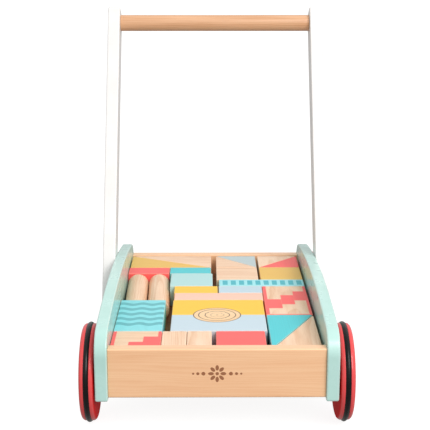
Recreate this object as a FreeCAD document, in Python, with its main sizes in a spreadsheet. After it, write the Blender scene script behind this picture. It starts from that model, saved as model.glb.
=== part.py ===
import FreeCAD, Part

import Sketcher
import math
import os

# Wooden baby walker with a tray of building blocks.
# +X to the walker's right, +Y from the front towards the child, +Z up.
# The origin lies on the floor under the middle of the whole walker.

Vector = FreeCAD.Vector
Rotation = FreeCAD.Rotation

doc = FreeCAD.newDocument("baby_walker")


# ---------------------------------------------------------------- driving sizes

DIMS = [
    # the blocks and the tray they fill
    ("module", 60.0),             # side of a square block
    ("block_thick", 30.0),        # every block's height
    ("block_round", 1.2),         # rounding along a block's edges
    ("block_gap", 0.5),           # gap between blocks that stand close
    ("half_cut_gap", 0.5),        # taken off each leg of a pair of triangles
    ("rod_under", 0.5),           # round blocks are this much thinner than a half block
    ("rod_short", 1.0),           # and this much shorter than two modules, to lie askew
    ("rod_one_turn", 1.3),        # how far each round block has rolled askew, degrees
    ("rod_two_turn", 2.0),
    ("width_slack", 15.0),        # room left over across the tray
    ("length_slack", 15.0),       # room left over along the tray
    ("blocks_front_gap", 2.5),    # front board to first row
    # side panels
    ("panel_thick", 15.0),
    ("panel_below_axle", 15.0),   # panel's bottom edge under the axles
    ("panel_front_over", 4.4),    # panel ahead of the front board
    ("panel_rear_over", 10.0),    # panel behind the back board
    ("crest_above_axle", 79.0),   # highest point of the crowned top edge
    ("crest_setback", 190.0),     # crest behind the front board's face
    ("crown_drop", 23.5),         # fall of the crowned edge from crest to rear end
    ("panel_front_round", 30.0),
    ("panel_rear_round", 35.0),
    ("edge_round", 2.0),          # softened edges of panels, boards and posts
    # cross boards and base
    ("board_thick", 15.0),
    ("board_below_axle", 11.5),
    ("front_board_high", 60.5),   # the front board stands over the blocks
    ("back_board_high", 53.8),    # and the back board is level with them
    ("base_thick", 6.0),
    ("base_above_axle", 13.0),    # top of the base over the axles
    ("groove_depth", 5.0),
    ("groove_play", 0.1),
    # handle
    ("bar_dia", 24.0),
    ("bar_above_axle", 393.2),
    ("bar_reach", 50.8),          # bar behind the back board's inner face
    ("bar_end_play", 0.1),
    ("post_thick", 18.0),
    ("post_width", 38.0),
    ("post_lean", 26.1),          # degrees from upright
    ("post_over", 20.0),          # post above the bar's axis
    ("post_foot_above_axle", 3.5),
    ("post_end_round", 6.0),
    # fasteners of the handle
    ("bolt_dia", 6.0),
    ("bolt_head_dia", 12.0),
    ("bolt_head_high", 3.6),
    ("bolt_head_sink", 4.0),
    ("bolt_hole_play", 0.2),
    ("bolt_high_above_axle", 55.5),
    ("bolt_low_above_axle", 21.4),
    ("insert_dia", 10.0),
    ("insert_long", 12.0),
    ("insert_play", 0.05),
    ("screw_dia", 4.5),
    ("screw_head_dia", 9.0),
    ("screw_head_high", 3.0),
    ("screw_play", 0.05),
    ("bar_screw_bite", 30.0),     # length of screw in the bar's end
    ("board_screw_bite", 32.0),   # length of screw in a cross board
    ("screw_above_axle", 20.0),
    # corner dowels
    ("dowel_dia", 8.0),
    ("dowel_in_panel", 10.0),
    ("dowel_in_board", 18.0),
    ("dowel_play", 0.05),
    ("dowel_end_play", 0.5),
    ("dowel_low", 1.8),           # lower dowels above the axles
    ("dowel_high", 33.5),         # upper dowels above the axles
    # wheels
    ("tyre_reach", 60.5),         # radius over the rubber ring, and so the axles' height
    ("tyre_section", 7.0),
    ("tyre_proud", 2.0),
    ("tyre_play", 0.05),
    ("wheel_thick", 17.5),
    ("wheel_round", 5.0),
    ("hub_recess_dia", 28.0),
    ("hub_recess_depth", 9.0),
    ("recess_round", 1.0),
    ("front_axle_setback", 53.6),
    ("post_tyre_gap", 6.0),      # between a post and the rear tyre behind it
    ("axle_dia", 8.0),
    ("axle_seat_play", 0.02),     # axle in a side panel and in its caps
    ("bush_dia", 12.0),
    ("bush_flange_dia", 18.0),
    ("bush_flange_thick", 1.2),
    ("running_play", 0.05),       # radial, bush on axle
    ("side_play", 0.3),           # wheel between its washers
    ("washer_dia", 18.0),
    ("washer_thick", 1.5),
    ("cap_dia", 15.0),
    ("cap_high", 6.5),
    ("cap_round", 3.0),
    ("axle_in_cap", 4.5),
]

sheet = doc.addObject("Spreadsheet::Sheet", "dims")
for row, (alias, value) in enumerate(DIMS, start=1):
    sheet.set("A%d" % row, alias)
    sheet.set("B%d" % row, repr(value))
    sheet.setAlias("B%d" % row, alias)

# Places that follow from the driving sizes. Setbacks are measured from the front
# board's face, and front_face turns them into the walker's own frame.
PLACES = [
    ("half_block", "=dims.module / 2"),
    ("rod_dia", "=half_block - dims.rod_under"),
    ("inner_width", "=4 * dims.module + dims.width_slack"),
    ("inner_length", "=6.5 * dims.module + dims.length_slack"),
    ("panel_inner", "=inner_width / 2"),
    ("panel_outer", "=inner_width / 2 + dims.panel_thick"),
    ("post_outer", "=panel_outer + dims.post_thick"),
    ("axle_height", "=dims.tyre_reach"),
    ("panel_bottom", "=axle_height - dims.panel_below_axle"),
    ("crest_height", "=axle_height + dims.crest_above_axle"),
    ("panel_rear", "=2 * dims.board_thick + inner_length + dims.panel_rear_over"),
    ("crest_to_rear", "=panel_rear - dims.crest_setback"),
    ("crown_radius",
     "=(crest_to_rear * crest_to_rear + dims.crown_drop * dims.crown_drop)"
     " / (2 * dims.crown_drop)"),
    ("board_bottom", "=axle_height - dims.board_below_axle"),
    ("back_board_face", "=dims.board_thick + inner_length"),
    ("base_top", "=axle_height + dims.base_above_axle"),
    ("base_bottom", "=base_top - dims.base_thick"),
    ("bar_setback", "=back_board_face + dims.bar_reach"),
    ("bar_height", "=axle_height + dims.bar_above_axle"),
    ("post_rear",
     "=bar_setback + (dims.post_over - dims.post_end_round) * sin(dims.post_lean * 1deg)"
     " + (dims.post_width / 2 - dims.post_end_round) * cos(dims.post_lean * 1deg)"
     " + dims.post_end_round"),
    ("walker_front", "=dims.front_axle_setback - dims.tyre_reach"),
    ("front_face", "=-(walker_front + post_rear) / 2"),
    ("rear_axle_setback",
     "=bar_setback - dims.bar_above_axle * tan(dims.post_lean * 1deg)"
     " + (dims.post_width / 2 + dims.tyre_reach + dims.post_tyre_gap)"
     " / cos(dims.post_lean * 1deg)"),
    ("post_drop",
     "=(dims.bar_above_axle - dims.post_foot_above_axle) / cos(dims.post_lean * 1deg)"),
    ("bolt_high_setback",
     "=bar_setback - (dims.bar_above_axle - dims.bolt_high_above_axle)"
     " * tan(dims.post_lean * 1deg)"),
    ("bolt_high_height", "=axle_height + dims.bolt_high_above_axle"),
    ("bolt_low_setback",
     "=bar_setback - (dims.bar_above_axle - dims.bolt_low_above_axle)"
     " * tan(dims.post_lean * 1deg)"),
    ("bolt_low_height", "=axle_height + dims.bolt_low_above_axle"),
    ("wheel_inner", "=panel_outer + dims.washer_thick + dims.side_play"),
    ("hub_face", "=wheel_inner + dims.wheel_thick - dims.hub_recess_depth"),
    ("bush_face", "=hub_face + dims.bush_flange_thick"),
    ("outer_washer", "=bush_face + dims.side_play"),
    ("cap_inner", "=outer_washer + dims.washer_thick"),
    ("axle_end", "=cap_inner + dims.axle_in_cap"),
    ("wheel_radius", "=dims.tyre_reach - dims.tyre_proud"),
    ("ring_radius", "=dims.tyre_reach - dims.tyre_section / 2"),
    # columns of blocks, left edges
    ("loose", "=dims.width_slack / 15"),
    ("left_column", "=-inner_width / 2 + dims.block_gap"),
    ("right_column", "=inner_width / 2 - 3 * loose - dims.module"),
    ("second_left", "=left_column + dims.module + dims.block_gap"),
    ("third_left", "=second_left + half_block + dims.block_gap"),
    ("solid_left", "=right_column - 5.3 * loose - dims.module"),
    ("log_left", "=right_column - 1.8 * loose - 2 * dims.module"),
    ("plank_left", "=right_column - 0.8 * loose - 2 * dims.module"),
    ("pale_left", "=right_column - 0.5 * loose - dims.module"),
    ("sun_left", "=pale_left - 1.4 * loose - dims.module"),
    ("checker_left", "=right_column + 0.2 * loose - dims.module"),
    ("sky_left", "=left_column + dims.module + 2.8 * loose"),
    ("rear_left", "=left_column + 1 * loose"),
    ("rear_solid_left", "=right_column - 3.2 * loose - dims.module"),
    # rows of blocks, front edges
    ("row_one", "=dims.board_thick + dims.blocks_front_gap"),
    ("row_two", "=row_one + dims.module + dims.block_gap"),
    ("row_right", "=row_one + 2 * dims.module + dims.block_gap"),
    ("row_three", "=row_two + 2 * dims.module + dims.block_gap"),
    ("row_four", "=row_three + half_block + dims.block_gap"),
    ("row_five", "=row_four + half_block + dims.block_gap"),
    ("row_six", "=row_five + half_block + dims.block_gap"),
    ("row_strip", "=row_five + dims.module + dims.block_gap"),
    ("row_rods_end", "=row_three + 2 * dims.module + dims.block_gap"),
    ("row_seven", "=row_six + dims.module + dims.block_gap"),
]

places = doc.addObject("Spreadsheet::Sheet", "places")
for row, (alias, formula) in enumerate(PLACES, start=1):
    places.set("A%d" % row, alias)
    places.setAlias("B%d" % row, alias)
for row, (alias, formula) in enumerate(PLACES, start=1):
    places.set("B%d" % row, formula)
doc.recompute()


# ---------------------------------------------------------------- helpers

NODES = []          # finished sub-parts, in order


def keep(item, name):
    """Mark an object as a finished sub-part under its own name."""
    item.Label = name
    NODES.append(item)
    return item


def bind(item, **sizes):
    """Bind properties of an object to expressions."""
    for prop, formula in sizes.items():
        item.setExpression(prop, formula)
    return item


def place(item, x="0", setback=None, height="0", turn=None):
    """Put an object at x, at a setback from the front board's face, at a height."""
    if turn is not None:
        item.Placement = FreeCAD.Placement(Vector(), turn)
    item.setExpression("Placement.Base.x", x)
    if setback is not None:
        item.setExpression("Placement.Base.y", "places.front_face + " + setback)
    item.setExpression("Placement.Base.z", height)
    return item


def origin_plane(body, role):
    return next(item for item in body.Origin.OriginFeatures if item.Role == role)


def new_sketch(body, role, name):
    sketch = body.newObject("Sketcher::SketchObject", name)
    sketch.AttachmentSupport = (origin_plane(body, role), [""])
    sketch.MapMode = "FlatFace"
    return sketch


def new_body(name):
    return doc.addObject("PartDesign::Body", name + "_body")


ALONG_X = Rotation(Vector(0, 1, 0), 90)
ALONG_MINUS_X = Rotation(Vector(0, 1, 0), -90)
ALONG_Y = Rotation(Vector(1, 0, 0), -90)


def cylinder(name, radius, length, turn=ALONG_X, **where):
    item = doc.addObject("Part::Cylinder", name)
    bind(item, Radius=radius, Height=length)
    return place(item, turn=turn, **where)


def cone(name, radius_low, radius_high, length, turn=ALONG_X, **where):
    item = doc.addObject("Part::Cone", name)
    bind(item, Radius1=radius_low, Radius2=radius_high, Height=length)
    return place(item, turn=turn, **where)


def box(name, length, width, height_of, **where):
    item = doc.addObject("Part::Box", name)
    bind(item, Length=length, Width=width, Height=height_of)
    return place(item, **where)


def joined(name, pieces):
    item = doc.addObject("Part::MultiFuse", name)
    item.Shapes = pieces
    return item


def cut(name, base, tools):
    """A base with one or more tools taken away."""
    item = doc.addObject("Part::Cut", name)
    item.Base = base
    if len(tools) == 1:
        item.Tool = tools[0]
    else:
        item.Tool = joined(name + "_tools", tools)
    return item


def group(name, pieces):
    item = doc.addObject("Part::Compound", name + "_group")
    item.Links = pieces
    return keep(item, name)


def round_edges(body, base, radius, chosen=None):
    """Fillet the chosen edges of a body's last feature, or all of them."""
    fillet = body.newObject("PartDesign::Fillet", base.Name + "_round")
    if chosen is None:
        fillet.Base = (base, ["Edge1"])
        fillet.UseAllEdges = True
    else:
        fillet.Base = (base, chosen)
    fillet.setExpression("Radius", radius)
    doc.recompute()
    return fillet


def edges_where(feature, test):
    return ["Edge%d" % number
            for number, edge in enumerate(feature.Shape.Edges, start=1) if test(edge)]


def rounded_box(name, length, width, height_of, radius):
    """A body that is a box with all its edges softened."""
    body = new_body(name)
    blank = body.newObject("PartDesign::AdditiveBox", name + "_blank")
    bind(blank, Length=length, Width=width, Height=height_of)
    doc.recompute()
    round_edges(body, blank, radius)
    return body


def closed_outline(sketch, corners):
    """A polygon whose corners are each held by two expressions."""
    count = len(corners)
    start = [Vector(math.cos(2 * math.pi * k / count), math.sin(2 * math.pi * k / count), 0)
             for k in range(count)]
    for k in range(count):
        sketch.addGeometry(Part.LineSegment(start[k], start[(k + 1) % count]), False)
    for k in range(count):
        sketch.addConstraint(Sketcher.Constraint("Coincident", k, 2, (k + 1) % count, 1))
    for k, (across, up) in enumerate(corners):
        for kind, formula in (("DistanceX", across), ("DistanceY", up)):
            index = sketch.addConstraint(Sketcher.Constraint(kind, -1, 1, k, 1, 1.0))
            sketch.setExpression("Constraints[%d]" % index, formula)


# ---------------------------------------------------------------- side panels

# middles of the cross boards' thickness, where their dowels and screws go in
BOARD_MIDDLES = (("front", "dims.board_thick / 2"),
                 ("back", "places.back_board_face + dims.board_thick / 2"))


def panel_blank(name):
    """Side panel with a crowned top edge and rounded upper corners."""
    body = new_body(name)
    sketch = new_sketch(body, "YZ_Plane", name + "_outline")
    front = -sheet.panel_front_over
    rear = places.panel_rear
    low = places.panel_bottom
    radius = places.crown_radius
    centre = Vector(sheet.crest_setback, places.crest_height - radius, 0)
    high_front = centre.y + math.sqrt(radius ** 2 - (centre.x - front) ** 2)
    high_rear = centre.y + math.sqrt(radius ** 2 - (rear - centre.x) ** 2)
    start_angle = math.atan2(high_rear - centre.y, rear - centre.x)
    end_angle = math.atan2(high_front - centre.y, front - centre.x)
    corners = [Vector(front, high_front, 0), Vector(front, low, 0),
               Vector(rear, low, 0), Vector(rear, high_rear, 0)]
    for k in range(3):
        sketch.addGeometry(Part.LineSegment(corners[k], corners[k + 1]), False)
    circle = Part.Circle(centre, Vector(0, 0, 1), radius)
    sketch.addGeometry(Part.ArcOfCircle(circle, start_angle, end_angle), False)
    for first, first_end, second, second_end in ((0, 2, 1, 1), (1, 2, 2, 1),
                                                 (2, 2, 3, 1), (3, 2, 0, 1)):
        sketch.addConstraint(
            Sketcher.Constraint("Coincident", first, first_end, second, second_end))
    sketch.addConstraint(Sketcher.Constraint("Vertical", 0))
    sketch.addConstraint(Sketcher.Constraint("Horizontal", 1))
    sketch.addConstraint(Sketcher.Constraint("Vertical", 2))
    held = [
        ("DistanceX", (1, 1), -sheet.panel_front_over, "-dims.panel_front_over"),
        ("DistanceY", (1, 1), low, "places.panel_bottom"),
        ("DistanceX", (1, 2), rear, "places.panel_rear"),
        ("DistanceX", (3, 3), centre.x, "dims.crest_setback"),
        ("DistanceY", (3, 3), centre.y, "places.crest_height - places.crown_radius"),
    ]
    for kind, (line, end), value, formula in held:
        index = sketch.addConstraint(Sketcher.Constraint(kind, -1, 1, line, end, value))
        sketch.setExpression("Constraints[%d]" % index, formula)
    index = sketch.addConstraint(Sketcher.Constraint("Radius", 3, radius))
    sketch.setExpression("Constraints[%d]" % index, "places.crown_radius")
    pad = body.newObject("PartDesign::Pad", name + "_pad")
    pad.Profile = sketch
    pad.setExpression("Length", "dims.panel_thick")
    doc.recompute()

    middle = sheet.crest_setback
    crest = places.crest_height - sheet.crown_drop - sheet.panel_rear_round

    def upper_corner(ahead):
        def test(edge):
            centre_of = edge.BoundBox.Center
            across = edge.BoundBox.XLength > sheet.panel_thick * 0.9
            thin = edge.BoundBox.YLength < 0.01
            return across and thin and centre_of.z > crest and (centre_of.y < middle) == ahead
        return test

    front_fillet = round_edges(body, pad, "dims.panel_front_round",
                               edges_where(pad, upper_corner(True)))
    rear_fillet = round_edges(body, front_fillet, "dims.panel_rear_round",
                              edges_where(front_fillet, upper_corner(False)))
    round_edges(body, rear_fillet, "dims.edge_round")
    return body


def side_panel(side, sign):
    name = "side_panel_" + side
    body = panel_blank(name)
    if sign < 0:
        left_edge = "-places.panel_outer"
        inner = "-places.panel_inner"
        inward, outward = ALONG_X, ALONG_MINUS_X
    else:
        left_edge = "places.panel_inner"
        inner = "places.panel_inner"
        inward, outward = ALONG_MINUS_X, ALONG_X
    outer = ("-" if sign < 0 else "") + "places.panel_outer"
    place(body, x=left_edge, setback="0")
    tools = []
    for end, setback in (("front", "dims.front_axle_setback"),
                         ("rear", "places.rear_axle_setback")):
        tools.append(cylinder(name + "_axle_hole_" + end,
                              "dims.axle_dia / 2 + dims.axle_seat_play",
                              "dims.panel_thick", turn=outward, x=inner,
                              setback=setback, height="places.axle_height"))
    for level in ("high", "low"):
        tools.append(cylinder(name + "_insert_hole_" + level,
                              "dims.insert_dia / 2 + dims.insert_play",
                              "dims.insert_long", turn=inward, x=outer,
                              setback="places.bolt_%s_setback" % level,
                              height="places.bolt_%s_height" % level))
    for end, setback in BOARD_MIDDLES:
        for level in ("low", "high"):
            tools.append(cylinder(name + "_dowel_hole_" + end + level,
                                  "dims.dowel_dia / 2 + dims.dowel_play",
                                  "dims.dowel_in_panel + dims.dowel_end_play",
                                  turn=outward, x=inner, setback=setback,
                                  height="places.axle_height + dims.dowel_" + level))
        tools.append(cylinder(name + "_screw_hole_" + end,
                              "dims.screw_dia / 2 + dims.screw_play",
                              "dims.panel_thick", turn=outward, x=inner,
                              setback=setback,
                              height="places.axle_height + dims.screw_above_axle"))
        tools.append(cone(name + "_screw_sink_" + end,
                          "dims.screw_head_dia / 2 + dims.screw_play",
                          "dims.screw_dia / 2 + dims.screw_play",
                          "dims.screw_head_high", turn=inward, x=outer,
                          setback=setback,
                          height="places.axle_height + dims.screw_above_axle"))
    groove_left = inner if sign > 0 else inner + " - dims.groove_depth"
    tools.append(box(name + "_base_groove", "dims.groove_depth",
                     "places.inner_length + 2 * dims.groove_depth",
                     "dims.base_thick + 2 * dims.groove_play", x=groove_left,
                     setback="dims.board_thick - dims.groove_depth",
                     height="places.base_bottom - dims.groove_play"))
    keep(cut(name, body, tools), name)


side_panel("left", -1)
side_panel("right", 1)


# ---------------------------------------------------------------- cross boards and base

def cross_board(end, face, middle, groove_setback):
    """Board between the panels, grooved for the base and bored for dowels and screws."""
    name = end + "_board"
    body = rounded_box(name, "places.inner_width", "dims.board_thick",
                       "dims.%s_high" % name, "dims.edge_round")
    place(body, x="-places.panel_inner", setback=face, height="places.board_bottom")
    tools = [box(name + "_base_groove", "places.inner_width", "dims.groove_depth",
                 "dims.base_thick + 2 * dims.groove_play", x="-places.panel_inner",
                 setback=groove_setback,
                 height="places.base_bottom - dims.groove_play")]
    for side, edge, turn in (("left", "-places.panel_inner", ALONG_X),
                             ("right", "places.panel_inner", ALONG_MINUS_X)):
        for level in ("low", "high"):
            tools.append(cylinder(name + "_dowel_hole_" + side + level,
                                  "dims.dowel_dia / 2 + dims.dowel_play",
                                  "dims.dowel_in_board + dims.dowel_end_play",
                                  turn=turn, x=edge, setback=middle,
                                  height="places.axle_height + dims.dowel_" + level))
        tools.append(cylinder(name + "_screw_hole_" + side,
                              "dims.screw_dia / 2 + dims.screw_play",
                              "dims.board_screw_bite + 1", turn=turn, x=edge,
                              setback=middle,
                              height="places.axle_height + dims.screw_above_axle"))
    keep(cut(name, body, tools), name)


cross_board("front", "0", BOARD_MIDDLES[0][1], "dims.board_thick - dims.groove_depth")
cross_board("back", "places.back_board_face", BOARD_MIDDLES[1][1], "places.back_board_face")

base = box("base_board_blank",
           "places.inner_width + 2 * (dims.groove_depth - dims.groove_play)",
           "places.inner_length + 2 * (dims.groove_depth - dims.groove_play)",
           "dims.base_thick",
           x="-places.panel_inner - dims.groove_depth + dims.groove_play",
           setback="dims.board_thick - dims.groove_depth + dims.groove_play",
           height="places.base_bottom")
keep(base, "base_board")


# ---------------------------------------------------------------- dowels and board screws

dowels = []
screws = []
for side, sign, turn in (("left", "-", ALONG_X), ("right", "", ALONG_MINUS_X)):
    for end, setback in BOARD_MIDDLES:
        for level in ("low", "high"):
            start = sign + "(places.panel_inner + dims.dowel_in_panel)"
            dowels.append(cylinder("dowel_" + side + end + level, "dims.dowel_dia / 2",
                                   "dims.dowel_in_panel + dims.dowel_in_board",
                                   turn=turn, x=start, setback=setback,
                                   height="places.axle_height + dims.dowel_" + level))
        where = dict(turn=turn, x=sign + "places.panel_outer", setback=setback,
                     height="places.axle_height + dims.screw_above_axle")
        name = "board_screw_" + side + end
        head = cone(name + "_head", "dims.screw_head_dia / 2", "dims.screw_dia / 2",
                    "dims.screw_head_high", **where)
        shank = cylinder(name + "_shank", "dims.screw_dia / 2",
                         "dims.panel_thick + dims.board_screw_bite", **where)
        screws.append(joined(name, [head, shank]))
group("corner_dowels", dowels)
group("board_screws", screws)


# ---------------------------------------------------------------- handle

def post_blank(name):
    """Leaning board with rounded ends, drawn upright about the bar's axis."""
    body = new_body(name)
    sketch = new_sketch(body, "YZ_Plane", name + "_outline")
    closed_outline(sketch, [
        ("-dims.post_width / 2", "-places.post_drop"),
        ("dims.post_width / 2", "-places.post_drop"),
        ("dims.post_width / 2", "dims.post_over"),
        ("-dims.post_width / 2", "dims.post_over"),
    ])
    pad = body.newObject("PartDesign::Pad", name + "_pad")
    pad.Profile = sketch
    pad.setExpression("Length", "dims.post_thick")
    doc.recompute()

    def end_corner(edge):
        size = edge.BoundBox
        return size.XLength > sheet.post_thick * 0.9

    ends = round_edges(body, pad, "dims.post_end_round", edges_where(pad, end_corner))
    round_edges(body, ends, "dims.edge_round")
    return body


def handle_post(side, sign):
    name = "handle_post_" + side
    body = post_blank(name)
    prefix = "-" if sign < 0 else ""
    left_edge = "-places.post_outer" if sign < 0 else "places.panel_outer"
    turn_inward = ALONG_X if sign < 0 else ALONG_MINUS_X
    place(body, x=left_edge, setback="places.bar_setback", height="places.bar_height",
          turn=Rotation(Vector(1, 0, 0), -sheet.post_lean))
    outer = prefix + "places.post_outer"
    tools = []
    for level in ("high", "low"):
        where = dict(turn=turn_inward, x=outer,
                     setback="places.bolt_%s_setback" % level,
                     height="places.bolt_%s_height" % level)
        tools.append(cylinder(name + "_bolt_hole_" + level,
                              "dims.bolt_dia / 2 + dims.bolt_hole_play",
                              "dims.post_thick", **where))
        tools.append(cylinder(name + "_bolt_sink_" + level,
                              "dims.bolt_head_dia / 2 + dims.bolt_hole_play",
                              "dims.bolt_head_sink", **where))
    where = dict(turn=turn_inward, x=outer, setback="places.bar_setback",
                 height="places.bar_height")
    tools.append(cylinder(name + "_screw_hole", "dims.screw_dia / 2 + dims.screw_play",
                          "dims.post_thick", **where))
    tools.append(cone(name + "_screw_sink", "dims.screw_head_dia / 2 + dims.screw_play",
                      "dims.screw_dia / 2 + dims.screw_play",
                      "dims.screw_head_high", **where))
    keep(cut(name, body, tools), name)


handle_post("left", -1)
handle_post("right", 1)

bar_blank = cylinder("handle_bar_blank", "dims.bar_dia / 2",
                     "2 * (places.panel_outer - dims.bar_end_play)",
                     x="-places.panel_outer + dims.bar_end_play",
                     setback="places.bar_setback", height="places.bar_height")
bar_holes = [cylinder("handle_bar_hole_" + side, "dims.screw_dia / 2 + dims.screw_play",
                      "dims.bar_screw_bite + 1", turn=turn, x=sign + "places.panel_outer",
                      setback="places.bar_setback", height="places.bar_height")
             for side, sign, turn in (("left", "-", ALONG_X), ("right", "", ALONG_MINUS_X))]
keep(cut("handle_bar", bar_blank, bar_holes), "handle_bar")

bolts = []
inserts = []
bar_screws = []
for side, sign, turn in (("left", "-", ALONG_X), ("right", "", ALONG_MINUS_X)):
    sink = "(places.post_outer - dims.bolt_head_sink)"
    for level in ("high", "low"):
        spot = dict(setback="places.bolt_%s_setback" % level,
                    height="places.bolt_%s_height" % level)
        name = "post_bolt_" + side + level
        outward = ALONG_MINUS_X if side == "left" else ALONG_X
        head = cylinder(name + "_head", "dims.bolt_head_dia / 2", "dims.bolt_head_high",
                        turn=outward, x=sign + sink, **spot)
        shank = cylinder(name + "_shank", "dims.bolt_dia / 2",
                         "dims.post_thick - dims.bolt_head_sink + dims.insert_long - 1",
                         turn=turn, x=sign + sink, **spot)
        bolts.append(joined(name, [head, shank]))
        sleeve = cylinder("post_insert_%s_blank" % (side + level), "dims.insert_dia / 2",
                          "dims.insert_long", turn=turn, x=sign + "places.panel_outer", **spot)
        bore = cylinder("post_insert_%s_bore" % (side + level),
                        "dims.bolt_dia / 2 + dims.insert_play", "dims.insert_long",
                        turn=turn, x=sign + "places.panel_outer", **spot)
        inserts.append(cut("post_insert_" + side + level, sleeve, [bore]))
    spot = dict(turn=turn, x=sign + "places.post_outer", setback="places.bar_setback",
                height="places.bar_height")
    name = "bar_screw_" + side
    head = cone(name + "_head", "dims.screw_head_dia / 2", "dims.screw_dia / 2",
                "dims.screw_head_high", **spot)
    shank = cylinder(name + "_shank", "dims.screw_dia / 2",
                     "dims.post_thick + dims.bar_screw_bite", **spot)
    bar_screws.append(joined(name, [head, shank]))
group("post_bolts", bolts)
group("post_inserts", inserts)
group("bar_screws", bar_screws)


# ---------------------------------------------------------------- axles and wheels

AXLES = (("front", "dims.front_axle_setback"), ("rear", "places.rear_axle_setback"))
SIDES = (("left", "-", -1), ("right", "", 1))

for end, setback in AXLES:
    axle = cylinder(end + "_axle_rod", "dims.axle_dia / 2", "2 * places.axle_end",
                    x="-places.axle_end", setback=setback, height="places.axle_height")
    keep(axle, end + "_axle")


def ring(name, outer_radius, bore_radius, thick, **where):
    """A flat ring or tube."""
    blank = cylinder(name + "_blank", outer_radius, thick, **where)
    bore = cylinder(name + "_bore", bore_radius, thick, **where)
    return cut(name, blank, [bore])


def wheel_body(name):
    """Wheel turned about its own X axis, from its inner face at 0 to its outer face."""
    body = new_body(name)
    profile = new_sketch(body, "XY_Plane", name + "_profile")
    closed_outline(profile, [
        ("0", "dims.bush_dia / 2"),
        ("dims.wheel_thick - dims.hub_recess_depth", "dims.bush_dia / 2"),
        ("dims.wheel_thick - dims.hub_recess_depth", "dims.hub_recess_dia / 2"),
        ("dims.wheel_thick", "dims.hub_recess_dia / 2"),
        ("dims.wheel_thick", "places.wheel_radius"),
        ("0", "places.wheel_radius"),
    ])
    turned = body.newObject("PartDesign::Revolution", name + "_turned")
    turned.Profile = profile
    turned.ReferenceAxis = (profile, ["H_Axis"])
    turned.Angle = 360
    doc.recompute()

    def rim(edge):
        return (isinstance(edge.Curve, Part.Circle)
                and abs(edge.Curve.Radius - places.wheel_radius) < 0.01)

    def recess_mouth(edge):
        return (isinstance(edge.Curve, Part.Circle)
                and abs(edge.Curve.Radius - sheet.hub_recess_dia / 2) < 0.01
                and edge.BoundBox.Center.x > sheet.wheel_thick - 0.01)

    rounded = round_edges(body, turned, "dims.wheel_round", edges_where(turned, rim))
    rounded = round_edges(body, rounded, "dims.recess_round",
                          edges_where(rounded, recess_mouth))
    volume = rounded.Shape.Volume
    seat = new_sketch(body, "XY_Plane", name + "_ring_seat")
    seat.addGeometry(Part.Circle(Vector(sheet.wheel_thick / 2, places.ring_radius, 0),
                                 Vector(0, 0, 1), sheet.tyre_section / 2), False)
    for kind, value, formula in (("DistanceX", sheet.wheel_thick / 2, "dims.wheel_thick / 2"),
                                 ("DistanceY", places.ring_radius, "places.ring_radius")):
        index = seat.addConstraint(Sketcher.Constraint(kind, -1, 1, 0, 3, value))
        seat.setExpression("Constraints[%d]" % index, formula)
    index = seat.addConstraint(Sketcher.Constraint("Radius", 0, sheet.tyre_section / 2))
    seat.setExpression("Constraints[%d]" % index, "dims.tyre_section / 2 + dims.tyre_play")
    groove = body.newObject("PartDesign::Groove", name + "_ring_groove")
    groove.Profile = seat
    groove.ReferenceAxis = (seat, ["H_Axis"])
    groove.Angle = 360
    doc.recompute()
    if groove.Shape.Volume >= volume:
        raise RuntimeError("the ring groove takes nothing away from " + name)
    return body


inner_washers = []
outer_washers = []
caps = []
for end, setback in AXLES:
    for side, prefix, sign in SIDES:
        corner = end + "_" + side
        outward = ALONG_X if sign > 0 else ALONG_MINUS_X
        spot = dict(turn=outward, setback=setback, height="places.axle_height")

        wheel = wheel_body(corner + "_wheel")
        facing = Rotation() if sign > 0 else Rotation(Vector(0, 0, 1), 180)
        place(wheel, x=prefix + "places.wheel_inner", setback=setback,
              height="places.axle_height", turn=facing)
        keep(wheel, corner + "_wheel")

        tyre = doc.addObject("Part::Torus", corner + "_tyre_ring")
        bind(tyre, Radius1="places.ring_radius", Radius2="dims.tyre_section / 2")
        place(tyre, x=prefix + "(places.wheel_inner + dims.wheel_thick / 2)",
              setback=setback, height="places.axle_height", turn=outward)
        keep(tyre, corner + "_tyre")

        barrel = cylinder(corner + "_bush_barrel", "dims.bush_dia / 2",
                          "places.hub_face - places.wheel_inner",
                          x=prefix + "places.wheel_inner", **spot)
        flange = cylinder(corner + "_bush_flange", "dims.bush_flange_dia / 2",
                          "dims.bush_flange_thick", x=prefix + "places.hub_face", **spot)
        bore = cylinder(corner + "_bush_bore", "dims.axle_dia / 2 + dims.running_play",
                        "places.bush_face - places.wheel_inner",
                        x=prefix + "places.wheel_inner", **spot)
        bush = cut(corner + "_bush_cut",
                   joined(corner + "_bush_blank", [barrel, flange]), [bore])
        keep(bush, corner + "_bush")

        for name, start, washers in (
                ("inner_washer_", "places.panel_outer", inner_washers),
                ("outer_washer_", "places.outer_washer", outer_washers)):
            washers.append(ring(name + corner, "dims.washer_dia / 2",
                                "dims.axle_dia / 2 + dims.axle_seat_play",
                                "dims.washer_thick", x=prefix + start, **spot))

        cap = new_body("axle_cap_" + corner)
        blank = cap.newObject("PartDesign::AdditiveCylinder", "axle_cap_blank_" + corner)
        bind(blank, Radius="dims.cap_dia / 2", Height="dims.cap_high")
        doc.recompute()
        top = edges_where(blank, lambda edge: isinstance(edge.Curve, Part.Circle)
                          and edge.BoundBox.Center.z > sheet.cap_high - 0.01)
        round_edges(cap, blank, "dims.cap_round", top)
        place(cap, x=prefix + "places.cap_inner", **spot)
        socket = cylinder("axle_cap_socket_" + corner,
                          "dims.axle_dia / 2 + dims.axle_seat_play",
                          "dims.axle_in_cap + dims.axle_seat_play",
                          x=prefix + "places.cap_inner", **spot)
        caps.append(cut("axle_cap_cut_" + corner, cap, [socket]))

group("inner_washers", inner_washers)
group("outer_washers", outer_washers)
group("axle_caps", caps)


# ---------------------------------------------------------------- blocks

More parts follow.
